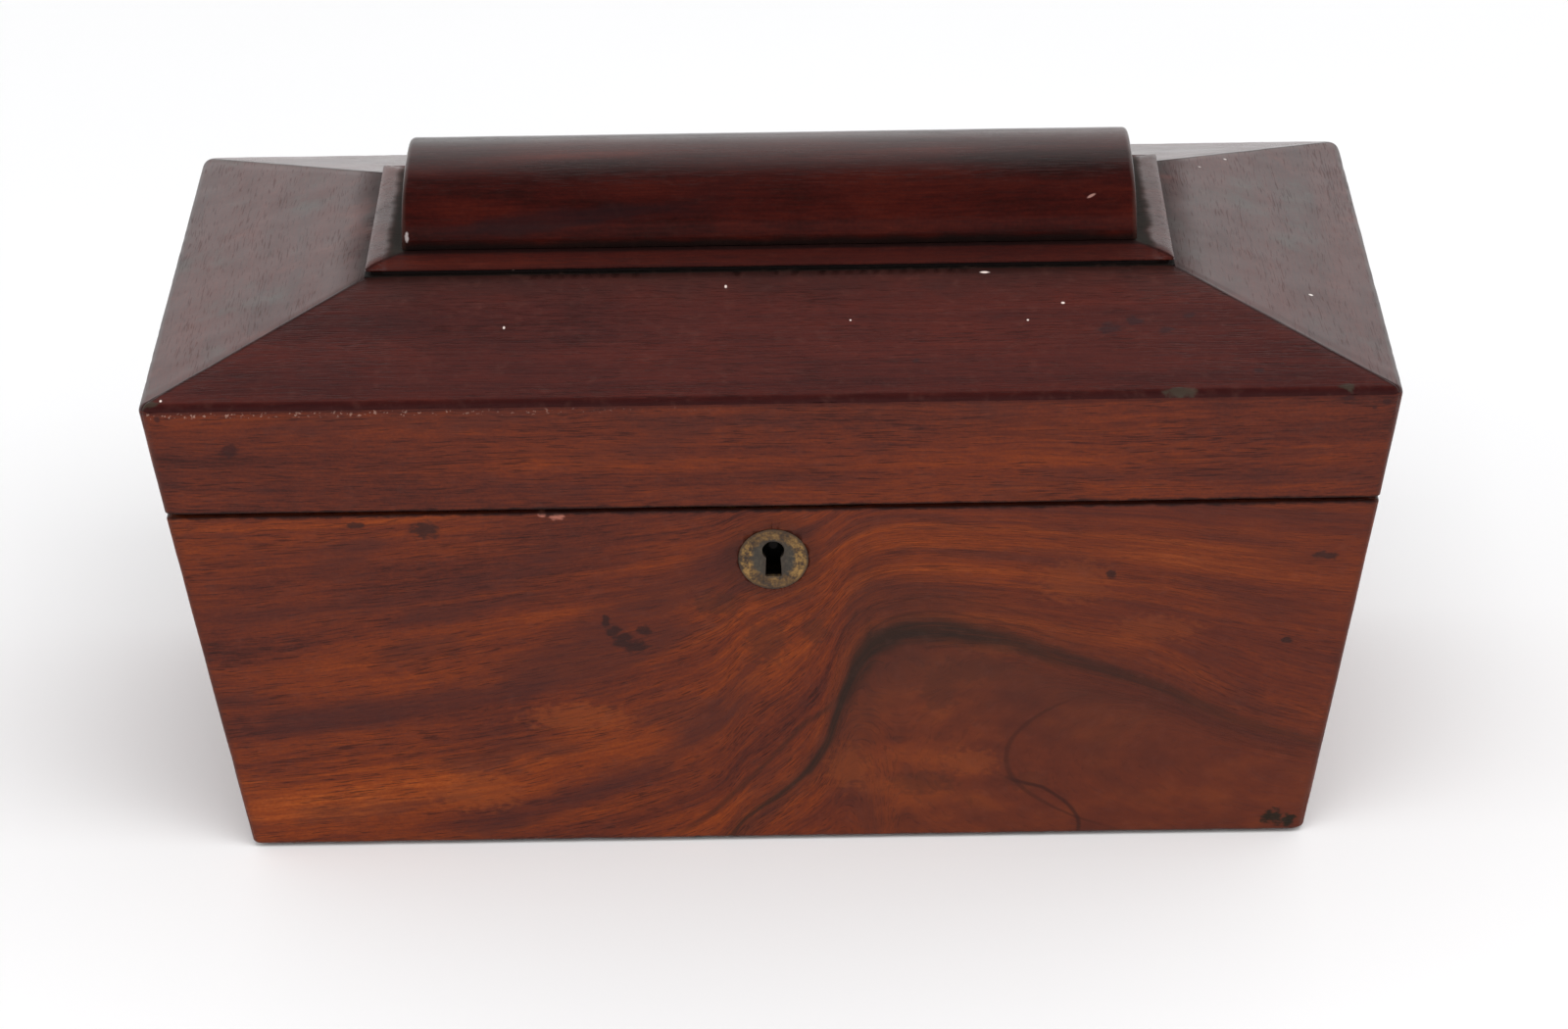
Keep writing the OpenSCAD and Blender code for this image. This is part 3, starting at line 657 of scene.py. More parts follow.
def front_extra(s, shade, x, y, z, line):
    ragged = s.noise(x / 9, z / 9, line / 3, 3.0)
    gap = arch_gap(s, x, z)
    shade = front_ground(s, shade, x, z, line, gap)
    shade = front_lines(s, shade, x, z, line, gap, ragged)
    # Old stains and knocks.
    stains = [(-86, 93.6, 4.4, 3.2), (-103, 95.3, 3.2, 1.3), (-42.3, 66.4, 1.6, 2.0),
              (-40.3, 63.6, 2.3, 2.3), (-38, 61, 3.6, 2.8), (-34.4, 58.8, 3.8, 2.2),
              (-32.4, 63.6, 2.4, 1.7), (84, 78, 1.8, 1.7), (128, 58, 1.7, 1.3),
              (137, 82.5, 4.4, 1.4)]
    burns = [(126, 5, 3.4, 3.0), (130, 4, 2.4, 2.2), (-20, 0.8, 3, 1)]
    chips = [(-53, 96.9, 2.2, 1.1), (-57, 97.6, 1.6, 0.8)]
    shade = s.marked(shade, x, z, (stains, 0.78, (38, 24, 23)), (burns, 0.92, (24, 24, 17)),
                     (chips, 0.6, (176, 112, 96)))
    # Grime round the escutcheon.
    away = s.length(x, z - KEY_Z)
    shade = s.mix(s.step(away + ragged * 4, 16, 8.5) * 0.5, shade, (52, 27, 22))
    # Painted shade, near black, in the escutcheon's recess and keyhole in the board.
    shade = s.mix(s.step(away, 8.6, 7.6), shade, (9, 7, 6))
    return arrises(s, shade, x, y, z, line)


def arrises(s, shade, x, y, z, line):
    """Painted shade in the joint gap between lid and body, a darker band along the foot of a side,
    and pale rubbed corners.
    """
    rag = s.lumps((x, y, z), 3)
    out_x = abs(x) - HALF_W - (z - EAVE_Z) * TAPER
    out_y = abs(y) - HALF_D - (z - EAVE_Z) * TAPER
    at_face = s.step(s.math("MAXIMUM", out_x, out_y), -1.8, -0.5)
    # Painted shade, nearly black, along the joint gap on the outside faces.
    seam = s.step(abs(z - SEAM_Z) + rag * 1.3, 1.5, 0.65) * at_face
    shade = s.mix(seam * 0.9, shade, (22, 11, 11))
    foot = s.step(z + rag * 3, 2.6, 0.8)
    shade = s.mix(foot * 0.45, shade, (52, 28, 22))
    corner = s.step(s.math("MINIMUM", out_x, out_y) + rag * 1.2, -2.6, -0.6)
    return s.mix(corner * 0.35, shade, (70, 36, 28))


def rim_extra(s, shade, x, y, z, line):
    rag = s.lumps((x, y, z), 4)
    top = s.step(z + rag * 0.8, EAVE_Z - 2.7, EAVE_Z - 1.7)
    shade = s.mix(top * 0.6, shade, (48, 18, 17))
    flecks = s.step(s.lumps((x, y, z), 0.8, 2.0), 0.10, 0.17)
    where = s.step(abs(z - EAVE_Z + 2.5) + rag * 1.2, 1.0, 0.3) * s.step(x, 10, -130)
    shade = s.mix(flecks * where * 0.4, shade, (178, 146, 132))
    knocks = [(150.5, 126, 1.2, 1.0), (147.5, 124.6, 0.8, 0.7), (-133, 117, 3, 2.4),
              (141, 127.4, 2.2, 0.9), (-150, 126, 1, 1)]
    shade = s.marked(shade, x, z, (knocks, 0.7, (44, 22, 22)))
    return arrises(s, shade, x, y, z, line)


def inset_from(s, x, y, border=0.0):
    """How far a point of the roof lies inside the eave, or inside a border within it."""
    return s.math("MINIMUM", HALF_W - border - abs(x), HALF_D - border - abs(y))


def by_plinth(s, x, y, z):
    """1 on the dirt that lies on the roof along the foot of the plinth."""
    inset = inset_from(s, x, y)
    return s.step(inset + s.lumps((x, y, z), 16, 2.0) * 6, 44, 54) * 0.5


def in_hollow(s, x, y, z):
    """1 in the hollow of the plinth at the ends of the bolster."""
    inset = HALF_W - HIP_INSET - abs(x)
    return s.step(inset + s.lumps((x, y, z), 6) * 3, 4.0, 6.5)


def hip_line(s, x, y):
    """1 along the mitres of the roof."""
    away = abs((abs(x) - HALF_W) - (abs(y) - HALF_D))
    rag = s.noise(x / 3, y / 3, 0.3, 3.0)
    return s.step(away + rag * 1.3, 1.5, 0.3)


def roof_extra(s, shade, x, y, z, line):
    rag = s.lumps((x, y, z), 8)
    inset = inset_from(s, x, y)
    # Darker towards the plinth; then a band of painted shade, near black, on the roof along the
    # plinth's foot, under its overhang.
    shade = s.mix(s.step(inset + rag * 14, 36, 53) * 0.55, shade, (47, 30, 28))
    shade = s.mix(s.step(inset + rag * 3, 48.5, 53.5) * 0.55, shade, PLINTH_SHADE)
    shade = s.mix(hip_line(s, x, y) * 0.75, shade, (34, 14, 13))
    # The eave's dark band is partly the veneer's dark red edge and partly painted shade along the
    # rounded eave.
    eave = s.step(inset + rag * 1.2, 2.6, 0.9)
    shade = s.mix(eave * 0.85, shade, (38, 10, 10))
    return shade


def roof_front_extra(s, shade, x, y, z, line):
    shade = roof_extra(s, shade, x, y, z, line)
    rubbed = [(100, -91.6, 5, 1.4), (141, -91, 2.2, 1.4), (-152, -91, 3, 1.4)]
    blots = [(84, -66, 4, 3), (90, -63, 3, 2.2), (98, -67, 2.4, 1.8), (36, -78, 1.4, 1.2),
             (120, -84, 1.6, 1.2), (104, -61, 2.2, 1.5)]
    shade = s.marked(shade, x, y, (rubbed, 0.85, (58, 50, 42)), (blots, 0.65, (44, 28, 30)))
    specks = s.spots(x, y, [(-11, -46, 0.4, 0.8), (-66, -62, 0.4, 0.8), (73, -55, 0.6, 0.6),
                            (64, -62, 0.4, 0.5), (-149, -90, 0.4, 0.6), (20, -61, 0.3, 0.4),
                            (54, -41.6, 1.5, 0.6)], ragged=0.6)
    return s.mix(specks, shade, (232, 214, 206))


def end_slope_extra(s, shade, x, y, z, line):
    shade = roof_extra(s, shade, x, y, z, line)
    cloud = s.noise(x / 16, y / 22, z / 16 + 4, 4.0, 0.6)
    shade = s.mix(s.step(cloud, 0.02, 0.25) * 0.5, shade, (60, 62, 58))
    shade = s.mix(s.step(cloud, -0.05, -0.28) * 0.5, shade, (104, 52, 42))
    specks = s.step(s.cells(x / 17, y / 17, z / 17 + 0.4), 0.045, 0.02)
    return s.mix(specks, shade, (225, 215, 210))


def plinth_extra(s, shade, x, y, z, line):
    rag = s.lumps((x, y, z), 6)
    inset = inset_from(s, x, y, HIP_INSET)
    hollow = s.step(inset + rag * 4, 3.5, 7.0)
    mitre = (abs(x) - HALF_W) - (abs(y) - HALF_D)
    at_end = s.step(mitre, -0.8, 0.8)
    shade = s.mix(hollow * at_end * 0.8, shade, (36, 40, 36))
    # Painted shade, nearly black, in the crease along the bolster's foot on the front and back.
    beside = s.step(inset + rag, 6.8, 8.6) * (1 - at_end)
    shade = s.mix(beside * 0.85, shade, (15, 7, 7))
    mitre = abs(mitre)
    shade = s.mix(s.step(mitre + rag, 1.0, 0.2) * 0.6, shade, (26, 10, 9))
    # Painted shadow, nearly black, on the recessed neck under the plinth's overhang.
    neck = s.step(z, PLINTH_Z + 0.1, PLINTH_Z - 0.3)
    shade = s.mix(neck * 0.95, shade, (12, 9, 9))
    chips = s.step(s.cells(x / 16, y / 16, z / 16 + 0.7), 0.055, 0.025)
    low_edge = s.step(z, PLINTH_Z + 0.9, PLINTH_Z + 0.3)
    return s.mix(chips * low_edge, shade, (190, 160, 150))


def bolster_extra(s, shade, x, y, z, line):
    rag = s.noise(x / 12, y / 5, z / 5, 3.0)
    # Painted shade, nearly black, on the bolster's tucked-in foot, where its rounded edge turns
    # under.
    foot = s.step(z + rag * 3.2, PLINTH_TOP + 3.4, PLINTH_TOP + 0.8)
    shade = s.mix(foot * 0.85, shade, (21, 17, 16))
    # A dark flame in the figure, at the left of the front.
    flame = abs(z - (x * 0.085 + 158.0)) + s.noise(x / 18, z / 5, 2.2, 3.0) * 6
    where = s.step(x, -90, -70) * s.step(x, 0, -40) * s.step(y, 0, -12)
    shade = s.mix(s.step(flame, 3.0, 0.6) * where * 0.6, shade, (26, 17, 19))
    knock = s.blob(x, z - x * 0.3, (81.5, 132.2), (1.4, 0.32), 0.8)
    shade = s.mix(knock * s.step(y, 0, -9) * 0.6, shade, (176, 134, 124))
    corner = s.blob(x, z, (1.4 - high("bolster").x, PLINTH_TOP + 3.4), (0.6, 1.5), 2.2)
    shade = s.mix(corner * s.step(y, 0, -9) * 0.8, shade, (170, 160, 158))
    ends = s.step(abs(x) + rag * 0.8, high("bolster").x - 1.4, high("bolster").x - 0.5)
    return s.mix(ends * 0.4, shade, (60, 40, 34))


def crown_extra(s, shade, x, y, z, line):
    """The crown board's top is painted black as shade where the plinth's recess shows it."""
    return s.mix(s.step(z, CROWN_Z - 2, CROWN_Z - 1), shade, PLINTH_SHADE)


SIDE = {"level": 0.12, "contrast": 0.75, "veil": 0.5, "hair": 0.4, "mottle": 0.05}
RIM = {"contrast": 0.6, "veil": 0.4, "hair": 0.35, "mottle": 0.04, "extra": rim_extra}
FRONT = wood_material("front_mahogany", "xzy", bend=front_bend, extra=front_extra, seed=1.0,
                      level=0.10, rough=0.38, contrast=0.9, shift=-0.02, veil=0.5, hair=0.3,
                      mottle=0.04, patch=0.6, weights=(1.3, 0.9, 0.5))
BACK = wood_material("back_mahogany", "xzy", seed=8.0, extra=arrises, **SIDE)
ENDS = wood_material("end_mahogany", "yzx", seed=14.0, extra=arrises, **SIDE)
RIM_LONG = wood_material("rim_mahogany", "xzy", seed=21.0, level=0.10, shift=-0.17, **RIM)
RIM_END = wood_material("rim_end_mahogany", "yzx", seed=27.0, level=0.12, shift=-0.12, **RIM)
ROOF_FRONT = wood_material("roof_front_mahogany", "xyz", stops=ROOF, seed=33.0, level=0.07,
                           rough=0.34, contrast=0.5, patch=0.75, mottle=0.07,
                           extra=roof_front_extra)
ROOF_BACK = wood_material("roof_back_mahogany", "xyz", stops=ROOF, seed=39.0, level=1.0,
                          rough=0.25, contrast=0.6, extra=roof_extra)
ROOF_END = wood_material("roof_end_mahogany", "yxz", stops=ROOF, seed=44.0, level=0.16,
                         rough=0.34, contrast=0.4, relief=0.006, pore=0.12, mottle=0.05,
                         dull=by_plinth, extra=end_slope_extra)
PLINTH = wood_material("plinth_mahogany", "xyz", stops=DARK, seed=50.0, level=0.12, rough=0.26,
                       contrast=0.5, shift=0.22, mottle=0.02, relief=0.02, dull=in_hollow,
                       extra=plinth_extra)
BOLSTER = wood_material("bolster_mahogany", "xyz", stops=DARK, seed=55.0, level=0.035,
                        rough=0.14, contrast=0.7, band=(90, 14), streak=(50, 7), patch=0.8,
                        mottle=0.015, pore=0.35, relief=0.015, extra=bolster_extra)
INSIDE_LONG = wood_material("inside_mahogany_x", "xzy", seed=61.0, level=0.3, shift=0.08)
INSIDE_CROSS = wood_material("inside_mahogany_y", "yzx", seed=66.0, level=0.3, shift=0.08)
INSIDE_FLAT = wood_material("inside_mahogany_flat", "yxz", seed=71.0, level=0.35, shift=0.05)

PINE_STOPS = [(0.0, (120, 84, 48)), (0.4, (160, 120, 74)), (0.7, (180, 141, 92)),
              (1.0, (198, 164, 114))]
STAINED_STOPS = [(0.0, (58, 34, 20)), (0.4, (88, 54, 32)), (0.7, (104, 66, 40)),
                 (1.0, (122, 80, 50))]
SOFTWOOD = {"level": 0.25, "band": (400, 30), "streak": (220, 3.5), "fine": (80, 0.8),
            "pore": 0.15}
CROWN = wood_material("crown_pine", "xyz", stops=PINE_STOPS, seed=86.0, level=0.1, rough=0.6,
                      extra=crown_extra)
PINE = wood_material("carcase_pine", "xyz", stops=PINE_STOPS, seed=80.0, rough=0.6, **SOFTWOOD)
STAINED_PINE = wood_material("stained_pine", "xyz", stops=STAINED_STOPS, seed=91.0, rough=0.55,
                             **SOFTWOOD)


# ---- Metal, cloth, bone and glass ----------------------------------------------------------


def keyhole_shade(s, x, y, z):
    """1 on the lock round the keyhole, where it is painted near-black as the shade seen through the
    hole.
    """
    return s.blob(x, z, (0, KEY_Z + 1), (13, 13)) * s.step(y, -70, -72)


def brass_material(name, tarnish=0.5):
    s = Shader(name)
    x, y, z = s.place()
    cloud = s.lumps((x, y, z), 5, 4.0, 0.6)
    speck = s.lumps((x, y, z), 0.8, 2.0)
    shade = s.ramp(cloud * 1.3 + 0.5, [(0.0, (92, 70, 38)), (0.5, (150, 118, 62)),
                                       (1.0, (186, 152, 84))])
    shade = s.mix(s.step(speck, 0.05, 0.3) * tarnish, shade, (54, 46, 34))
    brushed = s.noise(x / 6, y / 0.3, z / 0.3, 2.0)
    # Painted shade, near black, where the lock shows through the keyhole.
    shade = s.mix(keyhole_shade(s, x, y, z), shade, (9, 7, 6))
    return s.finish(base=shade, metal=0.9, rough=cloud * 0.3 + 0.42,
                    normal=s.bump(brushed + speck, 0.02))


def old_brass_material():
    """The escutcheon: mottled brown brass, worn grey-green round the keyhole."""
    s = Shader("escutcheon_brass")
    x, y, z = s.place()
    dz = (z - KEY_Z) / math.cos(LEAN)
    away = s.length(x, dz)
    mottle = s.noise(x / 1.1, z / 1.1, 0.4, 4.0, 0.65)
    large = s.noise(x / 4, z / 4, 2.4, 3.0)
    tan = s.ramp(mottle * 1.5 + large * 0.9 + 0.5, [
        (0.0, (26, 17, 12)), (0.35, (62, 43, 24)), (0.6, (98, 71, 36)),
        (0.85, (128, 98, 54)), (1.0, (166, 136, 84))])
    grey = s.ramp(mottle * 1.4 + 0.45, [(0.0, (28, 24, 21)), (0.5, (56, 49, 40)),
                                        (1.0, (88, 79, 64))])
    gilt = s.step(abs(x) + mottle * 4, 4.2, 7.0) * s.step(mottle, -0.12, 0.12)
    tan = s.mix(gilt * 0.5, tan, (158, 122, 64))
    shade = s.mix(s.step(away + mottle * 3, 6.2, 4.9), tan, grey)
    rim = s.step(away + mottle, 7.9, 8.6)
    shade = s.mix(rim * 0.75, shade, (44, 28, 20))
    hole = s.math("MAXIMUM", s.step(abs(x) + mottle * 0.6, 3.6, 2.2) * s.step(abs(dz), 6.2, 5.0),
                  s.blob(x, dz, (0, 2.1), (4.6, 4.6)))
    shade = s.mix(hole * 0.5, shade, (50, 38, 28))
    return s.finish(base=shade, metal=0.35, rough=mottle * 0.25 + 0.5,
                    normal=s.bump(mottle + large, 0.10))


def steel_material():
    s = Shader("steel")
    x, y, z = s.place()
    cloud = s.lumps((x, y, z), 3, 4.0, 0.6)
    shade = s.ramp(cloud * 1.4 + 0.5, [(0.0, (60, 44, 36)), (0.35, (104, 100, 98)),
                                       (1.0, (150, 150, 152))])
    # Painted shade, near black, where the key pin shows through the keyhole.
    shade = s.mix(keyhole_shade(s, x, y, z), shade, (14, 11, 10))
    return s.finish(base=shade, metal=0.9, rough=cloud * 0.4 + 0.42, normal=s.bump(cloud, 0.03))


def foil_material():
    s = Shader("foil")
    x, y, z = s.place()
    crease = s.lumps((x, y, z), 6, 4.0, 0.7, 1.5)
    shade = s.ramp(crease + 0.5, [(0.2, (118, 120, 124)), (0.8, (172, 174, 176))])
    return s.finish(base=shade, metal=0.9, rough=crease * 0.3 + 0.38,
                    normal=s.bump(crease, 0.5))


def cloth_material(name, dark, light, pile=0.35):
    s = Shader(name)
    x, y, z = s.place()
    nap = s.lumps((x, y, z), 0.35, 2.0)
    brushed = s.noise(x / 14, y / 20, z / 14, 3.0, 0.6, 0.6)
    weave = s.noise(x / 1.2, y / 0.5, z / 1.2, 2.0)
    shade = s.ramp(brushed * 0.6 + nap * 0.7 + weave * 0.3 + 0.5, [(0.15, dark), (0.85, light)])
    return s.finish(base=shade, rough=0.92, level=0.2, sheen=0.6, sheen_rough=0.45,
                    sheen_tint=light, normal=s.bump(nap + weave * 0.6, pile))


def bone_material():
    s = Shader("bone")
    x, y, z = s.place()
    lines = s.noise(x / 1.6, y / 1.6, z / 9, 3.0)
    flecks = s.noise(x / 0.35, y / 0.35, z / 2, 2.0)
    shade = s.ramp(lines * 1.3 + 0.55, [(0.1, (186, 164, 122)), (0.55, (222, 208, 176)),
                                        (1.0, (236, 228, 206))])
    shade = s.mix(s.step(flecks, 0.16, 0.3) * 0.5, shade, (140, 112, 76))
    return s.finish(base=shade, rough=flecks * 0.1 + 0.32, level=0.5,
                    normal=s.bump(flecks, 0.02))


def glass_material():
    s = Shader("cut_glass")
    x, y, z = s.place()
    ripple = s.lumps((x, y, z), 9, 2.0)
    shade = s.ramp(ripple + 0.5, [(0.2, (236, 244, 242)), (0.8, (246, 250, 249))])
    return s.finish(base=shade, through=1.0, ior=1.52, rough=0.02, normal=s.bump(ripple, 0.08))


BRASS = brass_material("hinge_brass")
LOCK_BRASS = brass_material("lock_brass", 0.35)
OLD_BRASS = old_brass_material()
STEEL = steel_material()
FOIL = foil_material()
VELVET = cloth_material("green_velvet", (18, 36, 26), (58, 92, 68))
BAIZE = cloth_material("green_baize", (24, 44, 30), (62, 88, 60), 0.5)
BONE = bone_material()
GLASS = glass_material()


# ---- The outside boards, cut from two worn skins -------------------------------------------

GAP = 0.03  # how far the skins stay inside the CAD's faces
COUNTS = (120, 72, 8)


def worn(rings, edges, seed, depth=0.22):
    """Moves a skin's points inwards: a slow wander on the faces and more on the worn edges.

    edges says how much of an edge each ring is, from 0 to 1.
    """
    grid = np.array(rings)
    along = np.roll(grid, -1, axis=1) - np.roll(grid, 1, axis=1)
    across = np.gradient(grid, axis=0)
    normal = np.cross(along, across)
    normal /= np.maximum(np.linalg.norm(normal, axis=2, keepdims=True), 1e-9)
    corner = np.linalg.norm(np.roll(along, 1, axis=1) - along, axis=2)
    corner = np.clip(corner / (np.linalg.norm(along, axis=2) + 1e-9) * 4, 0, 1)
    moved = grid.copy()
    for i in range(1, len(grid) - 1):
        for j in range(grid.shape[1]):
            p = grid[i, j]
            rub = max(edges[i], 0.8 * corner[i, j])
            slow = 0.5 + 0.5 * wobble(p, 40, seed)
            inwards = 0.07 * slow
            if rub > 0.01:
                rough = 0.5 + 0.5 * wobble(p, 9, seed + 5)
                small = max(0.0, wobble(p, 3.1, seed + 9) - 0.25)
                inwards += rub * depth * (rough + 1.6 * small)
            moved[i, j] = p - inwards * normal[i, j]
    return list(moved)


def skin(name, corners, corner_radii, seed, depth=0.22):
    """A closed skin, worn along its edges.

    corners is its section, for rounded(), and corner_radii(z) gives the radii of its four upright
    corners.
    """
    section = rounded(corners)
    edge_spots = [np.array(c[:2]) for c in corners if c[2] > 0]
    edge_sizes = [c[2] for c in corners if c[2] > 0]
    rings, edges = [], []
    for inset, z in section:
        rings.append(raised(ring(HALF_W + inset, HALF_D + inset, corner_radii(z), COUNTS), z))
        near = max(1 - np.linalg.norm(spot - (inset, z)) / (1.2 + 1.3 * size)
                   for spot, size in zip(edge_spots, edge_sizes))
        edges.append(max(0.0, near))
    return loft(name, worn(rings, edges, seed, depth))


def between(z, z0, z1, a, b):
    t = min(1.0, max(0.0, (z - z0) / (z1 - z0)))
    return a + (b - a) * t


def carcase_corners(z):
    front_right = between(z, 0, 40, 3.0, 1.9)
    front_left = between(z, 0, 40, 1.8, 1.7)
    back = between(z, 0, BODY_TOP, 2.4, 2.8)
    return [front_right, back, back, front_left]


def lid_corners(z):
    if z < EAVE_Z - 1:
        front = between(z, LID_LOW, EAVE_Z, 1.8, 3.2)
        back = between(z, LID_LOW, EAVE_Z, 2.6, 4.8)
    else:
        front = between(z, EAVE_Z - 1, EAVE_Z + 1.6, 3.2, 0.9)
        back = between(z, EAVE_Z - 1, EAVE_Z + 1.6, 4.8, 0.9)
    return [front, back, back, front]


CAP_INSET = 14
PAST_CROWN = 2.5  # how far the roof's skin runs on, so the veneers' upper edges are clean cuts
carcase_skin = skin("carcase_skin", [
    (outside(BODY_LOW) - CAP_INSET, BODY_LOW + GAP, 0),
    (outside(BODY_LOW) - GAP, BODY_LOW + GAP, 1.3),
    (outside(BODY_TOP) - GAP, BODY_TOP - GAP, 0.75),
    (outside(BODY_TOP) - CAP_INSET, BODY_TOP - GAP, 0),
], carcase_corners, 1.0)
lid_skin = skin("lid_skin", [
    (outside(LID_LOW) - CAP_INSET, LID_LOW + GAP, 0),
    (outside(LID_LOW) - GAP, LID_LOW + GAP, 0.7),
    (-GAP, EAVE_Z - GAP, 2.4),
    (-HIP_INSET - PAST_CROWN, CROWN_Z - 2 * GAP + PAST_CROWN * ROOF_SLOPE, 0),
    (-HIP_INSET - 2 * PAST_CROWN, CROWN_Z - 2 * GAP + PAST_CROWN * ROOF_SLOPE, 0),
], lid_corners, 4.0)

for side, material in (("front", FRONT), ("back", BACK), ("left_end", ENDS), ("right_end", ENDS)):
    node = side + "_board"
    piece(node + "_wood", cut_from(carcase_skin, node), "carcase", "mahogany", material, node)
for side, rim, slope in (("front", RIM_LONG, ROOF_FRONT), ("back", RIM_LONG, ROOF_BACK),
                         ("left", RIM_END, ROOF_END), ("right", RIM_END, ROOF_END)):
    node = f"lid_{side}_rim"
    piece(node + "_wood", cut_from(lid_skin, node), "lid", "mahogany", rim, node)
    node = f"roof_veneer_{side}"
    piece(node + "_wood", cut_from(lid_skin, node), "lid", "dark_mahogany", slope, node)
for spent in (carcase_skin, lid_skin):
    bpy.data.meshes.remove(spent)


# ---- Plinth and bolster --------------------------------------------------------------------


def plinth_mesh():
    """A recessed neck under a bead-edged board, with a shallow hollow in front of the bolster."""
    half_w, half_d = HALF_W - HIP_INSET, HALF_D - HIP_INSET
    rise = PLINTH_TOP - PLINTH_Z
    section = [(-14, CROWN_Z + 0.02), (-1.4, CROWN_Z + 0.02), (-1.35, PLINTH_Z - 0.5),
               (-1.2, PLINTH_Z + 0.02), (-0.3, PLINTH_Z + 0.02)]
    section += [(-0.05 + 0.25 * (math.cos(a) - 1), PLINTH_Z + 0.27 - 0.25 * math.cos(a))
                for a in (0.0, 0.8, 1.57)]
    curl = 6.2
    for i in range(1, 13):
        a = math.pi / 2 * i / 12
        section.append((-0.08 - curl + curl * math.cos(a),
                        PLINTH_Z + 0.3 + (rise - 0.36) * math.sin(a) ** 0.9))
    section += [(-7.4, PLINTH_TOP - 0.22), (-8.4, PLINTH_TOP - 0.24), (-9.6, PLINTH_TOP - 0.2),
                (-14, PLINTH_TOP - 0.2)]
    rings = []
    for inset, z in section:
        radius = 0.5 if inset > -5 else 0.25
        flat = ring(half_w + inset, half_d + inset, [radius] * 4, (100, 40, 4))
        heights = np.full(len(flat), z)
        if z > PLINTH_Z + 0.25 and inset > -9.5:
            bevel = PLINTH_Z + 0.25 + (rise - 0.45) * (max(0.0, -inset) / 9) ** 0.9
            along = (np.abs(flat[:, 1]) - half_d) - (np.abs(flat[:, 0]) - half_w)
            share = np.clip((along + 1.5) / 3, 0, 1)
            heights += (min(bevel, z) - z) * share
        rings.append(raised(flat, heights))
    edges = [0.5 if 4 < i < 18 else 0.0 for i in range(len(rings))]
    return loft("plinth", worn(rings, edges, 12.0, 0.16))


def bolster_mesh():
    """A half-barrel with flat ends, whose long edges tuck in at the foot."""
    top, foot = high("bolster"), low("bolster")
    half_l, half_d = top.x - 0.02, top.y - 0.02
    tuck, tuck_h = 0.7, 2.2
    height = top.z - 0.03 - foot.z - tuck_h
    steps = 44
    section = [(-half_d + tuck, foot.z + 0.02), (-half_d + tuck * 0.45, foot.z + 0.9)]
    for i in range(steps + 1):
        a = math.pi * i / steps
        c, s = -math.cos(a), math.sin(a)
        section.append((half_d * math.copysign(abs(c) ** (2 / 2.15), c),
                        foot.z + tuck_h + height * abs(s) ** (2 / 2.15)))
    section += [(half_d - tuck * 0.45, foot.z + 0.9), (half_d - tuck, foot.z + 0.02)]
    line = np.array(section)
    middle = np.array((0, foot.z))
    soft = 1.5
    stations = [(-half_l + soft * (1 - math.sin(a)), soft * (1 - math.cos(a)))
                for a in np.linspace(math.pi / 2, 0, 7)]
    inner = [(x, 0.0) for x in np.linspace(-half_l + soft, half_l - soft, 74)[1:-1]]
    stations = stations + inner + [(-x, inset) for x, inset in stations[::-1]]
    rings = []
    for x, inset in stations:
        shrunk = line.copy()
        outwards = line - middle
        outwards /= np.maximum(np.linalg.norm(outwards, axis=1, keepdims=True), 1e-6)
        shrunk[2:-2] -= outwards[2:-2] * inset
        shrunk[:2, 0] += inset * 0.5
        shrunk[-2:, 0] -= inset * 0.5
        ring3 = np.column_stack([np.full(len(shrunk), x), shrunk])
        for point in ring3:
            sunk = 0.10 * (0.5 + 0.5 * wobble(point, 25, 2.0))
            if abs(x) > half_l - 3:
                sunk += 0.12 * max(0.0, wobble(point, 3, 7.0))
            toward = np.array((0, -point[1], foot.z - point[2]))
            point += toward / max(np.linalg.norm(toward), 1e-6) * sunk
        ring3[:, 2] = np.maximum(ring3[:, 2], foot.z + 0.02)
        rings.append(ring3)
    return loft("bolster", rings)


piece("plinth_moulding", plinth_mesh(), "lid", "dark_mahogany", PLINTH, "plinth")
piece("bolster_wood", bolster_mesh(), "lid", "dark_mahogany", BOLSTER, "bolster")


# ---- Escutcheon ----------------------------------------------------------------------------

ESCUTCHEON_R = (high("escutcheon").x - low("escutcheon").x) / 2
KEY_UP = 2.1  # middle of the key's round hole above the middle of the escutcheon
KEY_R = 2.75
KEY_FOOT = -5.3
KEY_HALF = 1.75


def keyhole_radius(angle):
    """Distance from the hole's middle point to its edge, for a ray at an angle from +X."""
    dx, dy = math.cos(angle), math.sin(angle)
    reach = 0.0
    for step in range(400):
        r = step * 0.02
        x, y = r * dx, r * dy
        in_round = x * x + (y - KEY_UP) ** 2 < KEY_R ** 2
        half = KEY_HALF + 0.10 * max(0.0, KEY_UP - y) / 3
        in_slot = abs(x) < half and KEY_FOOT < y < KEY_UP
        if in_round or in_slot:
            reach = r
    return reach


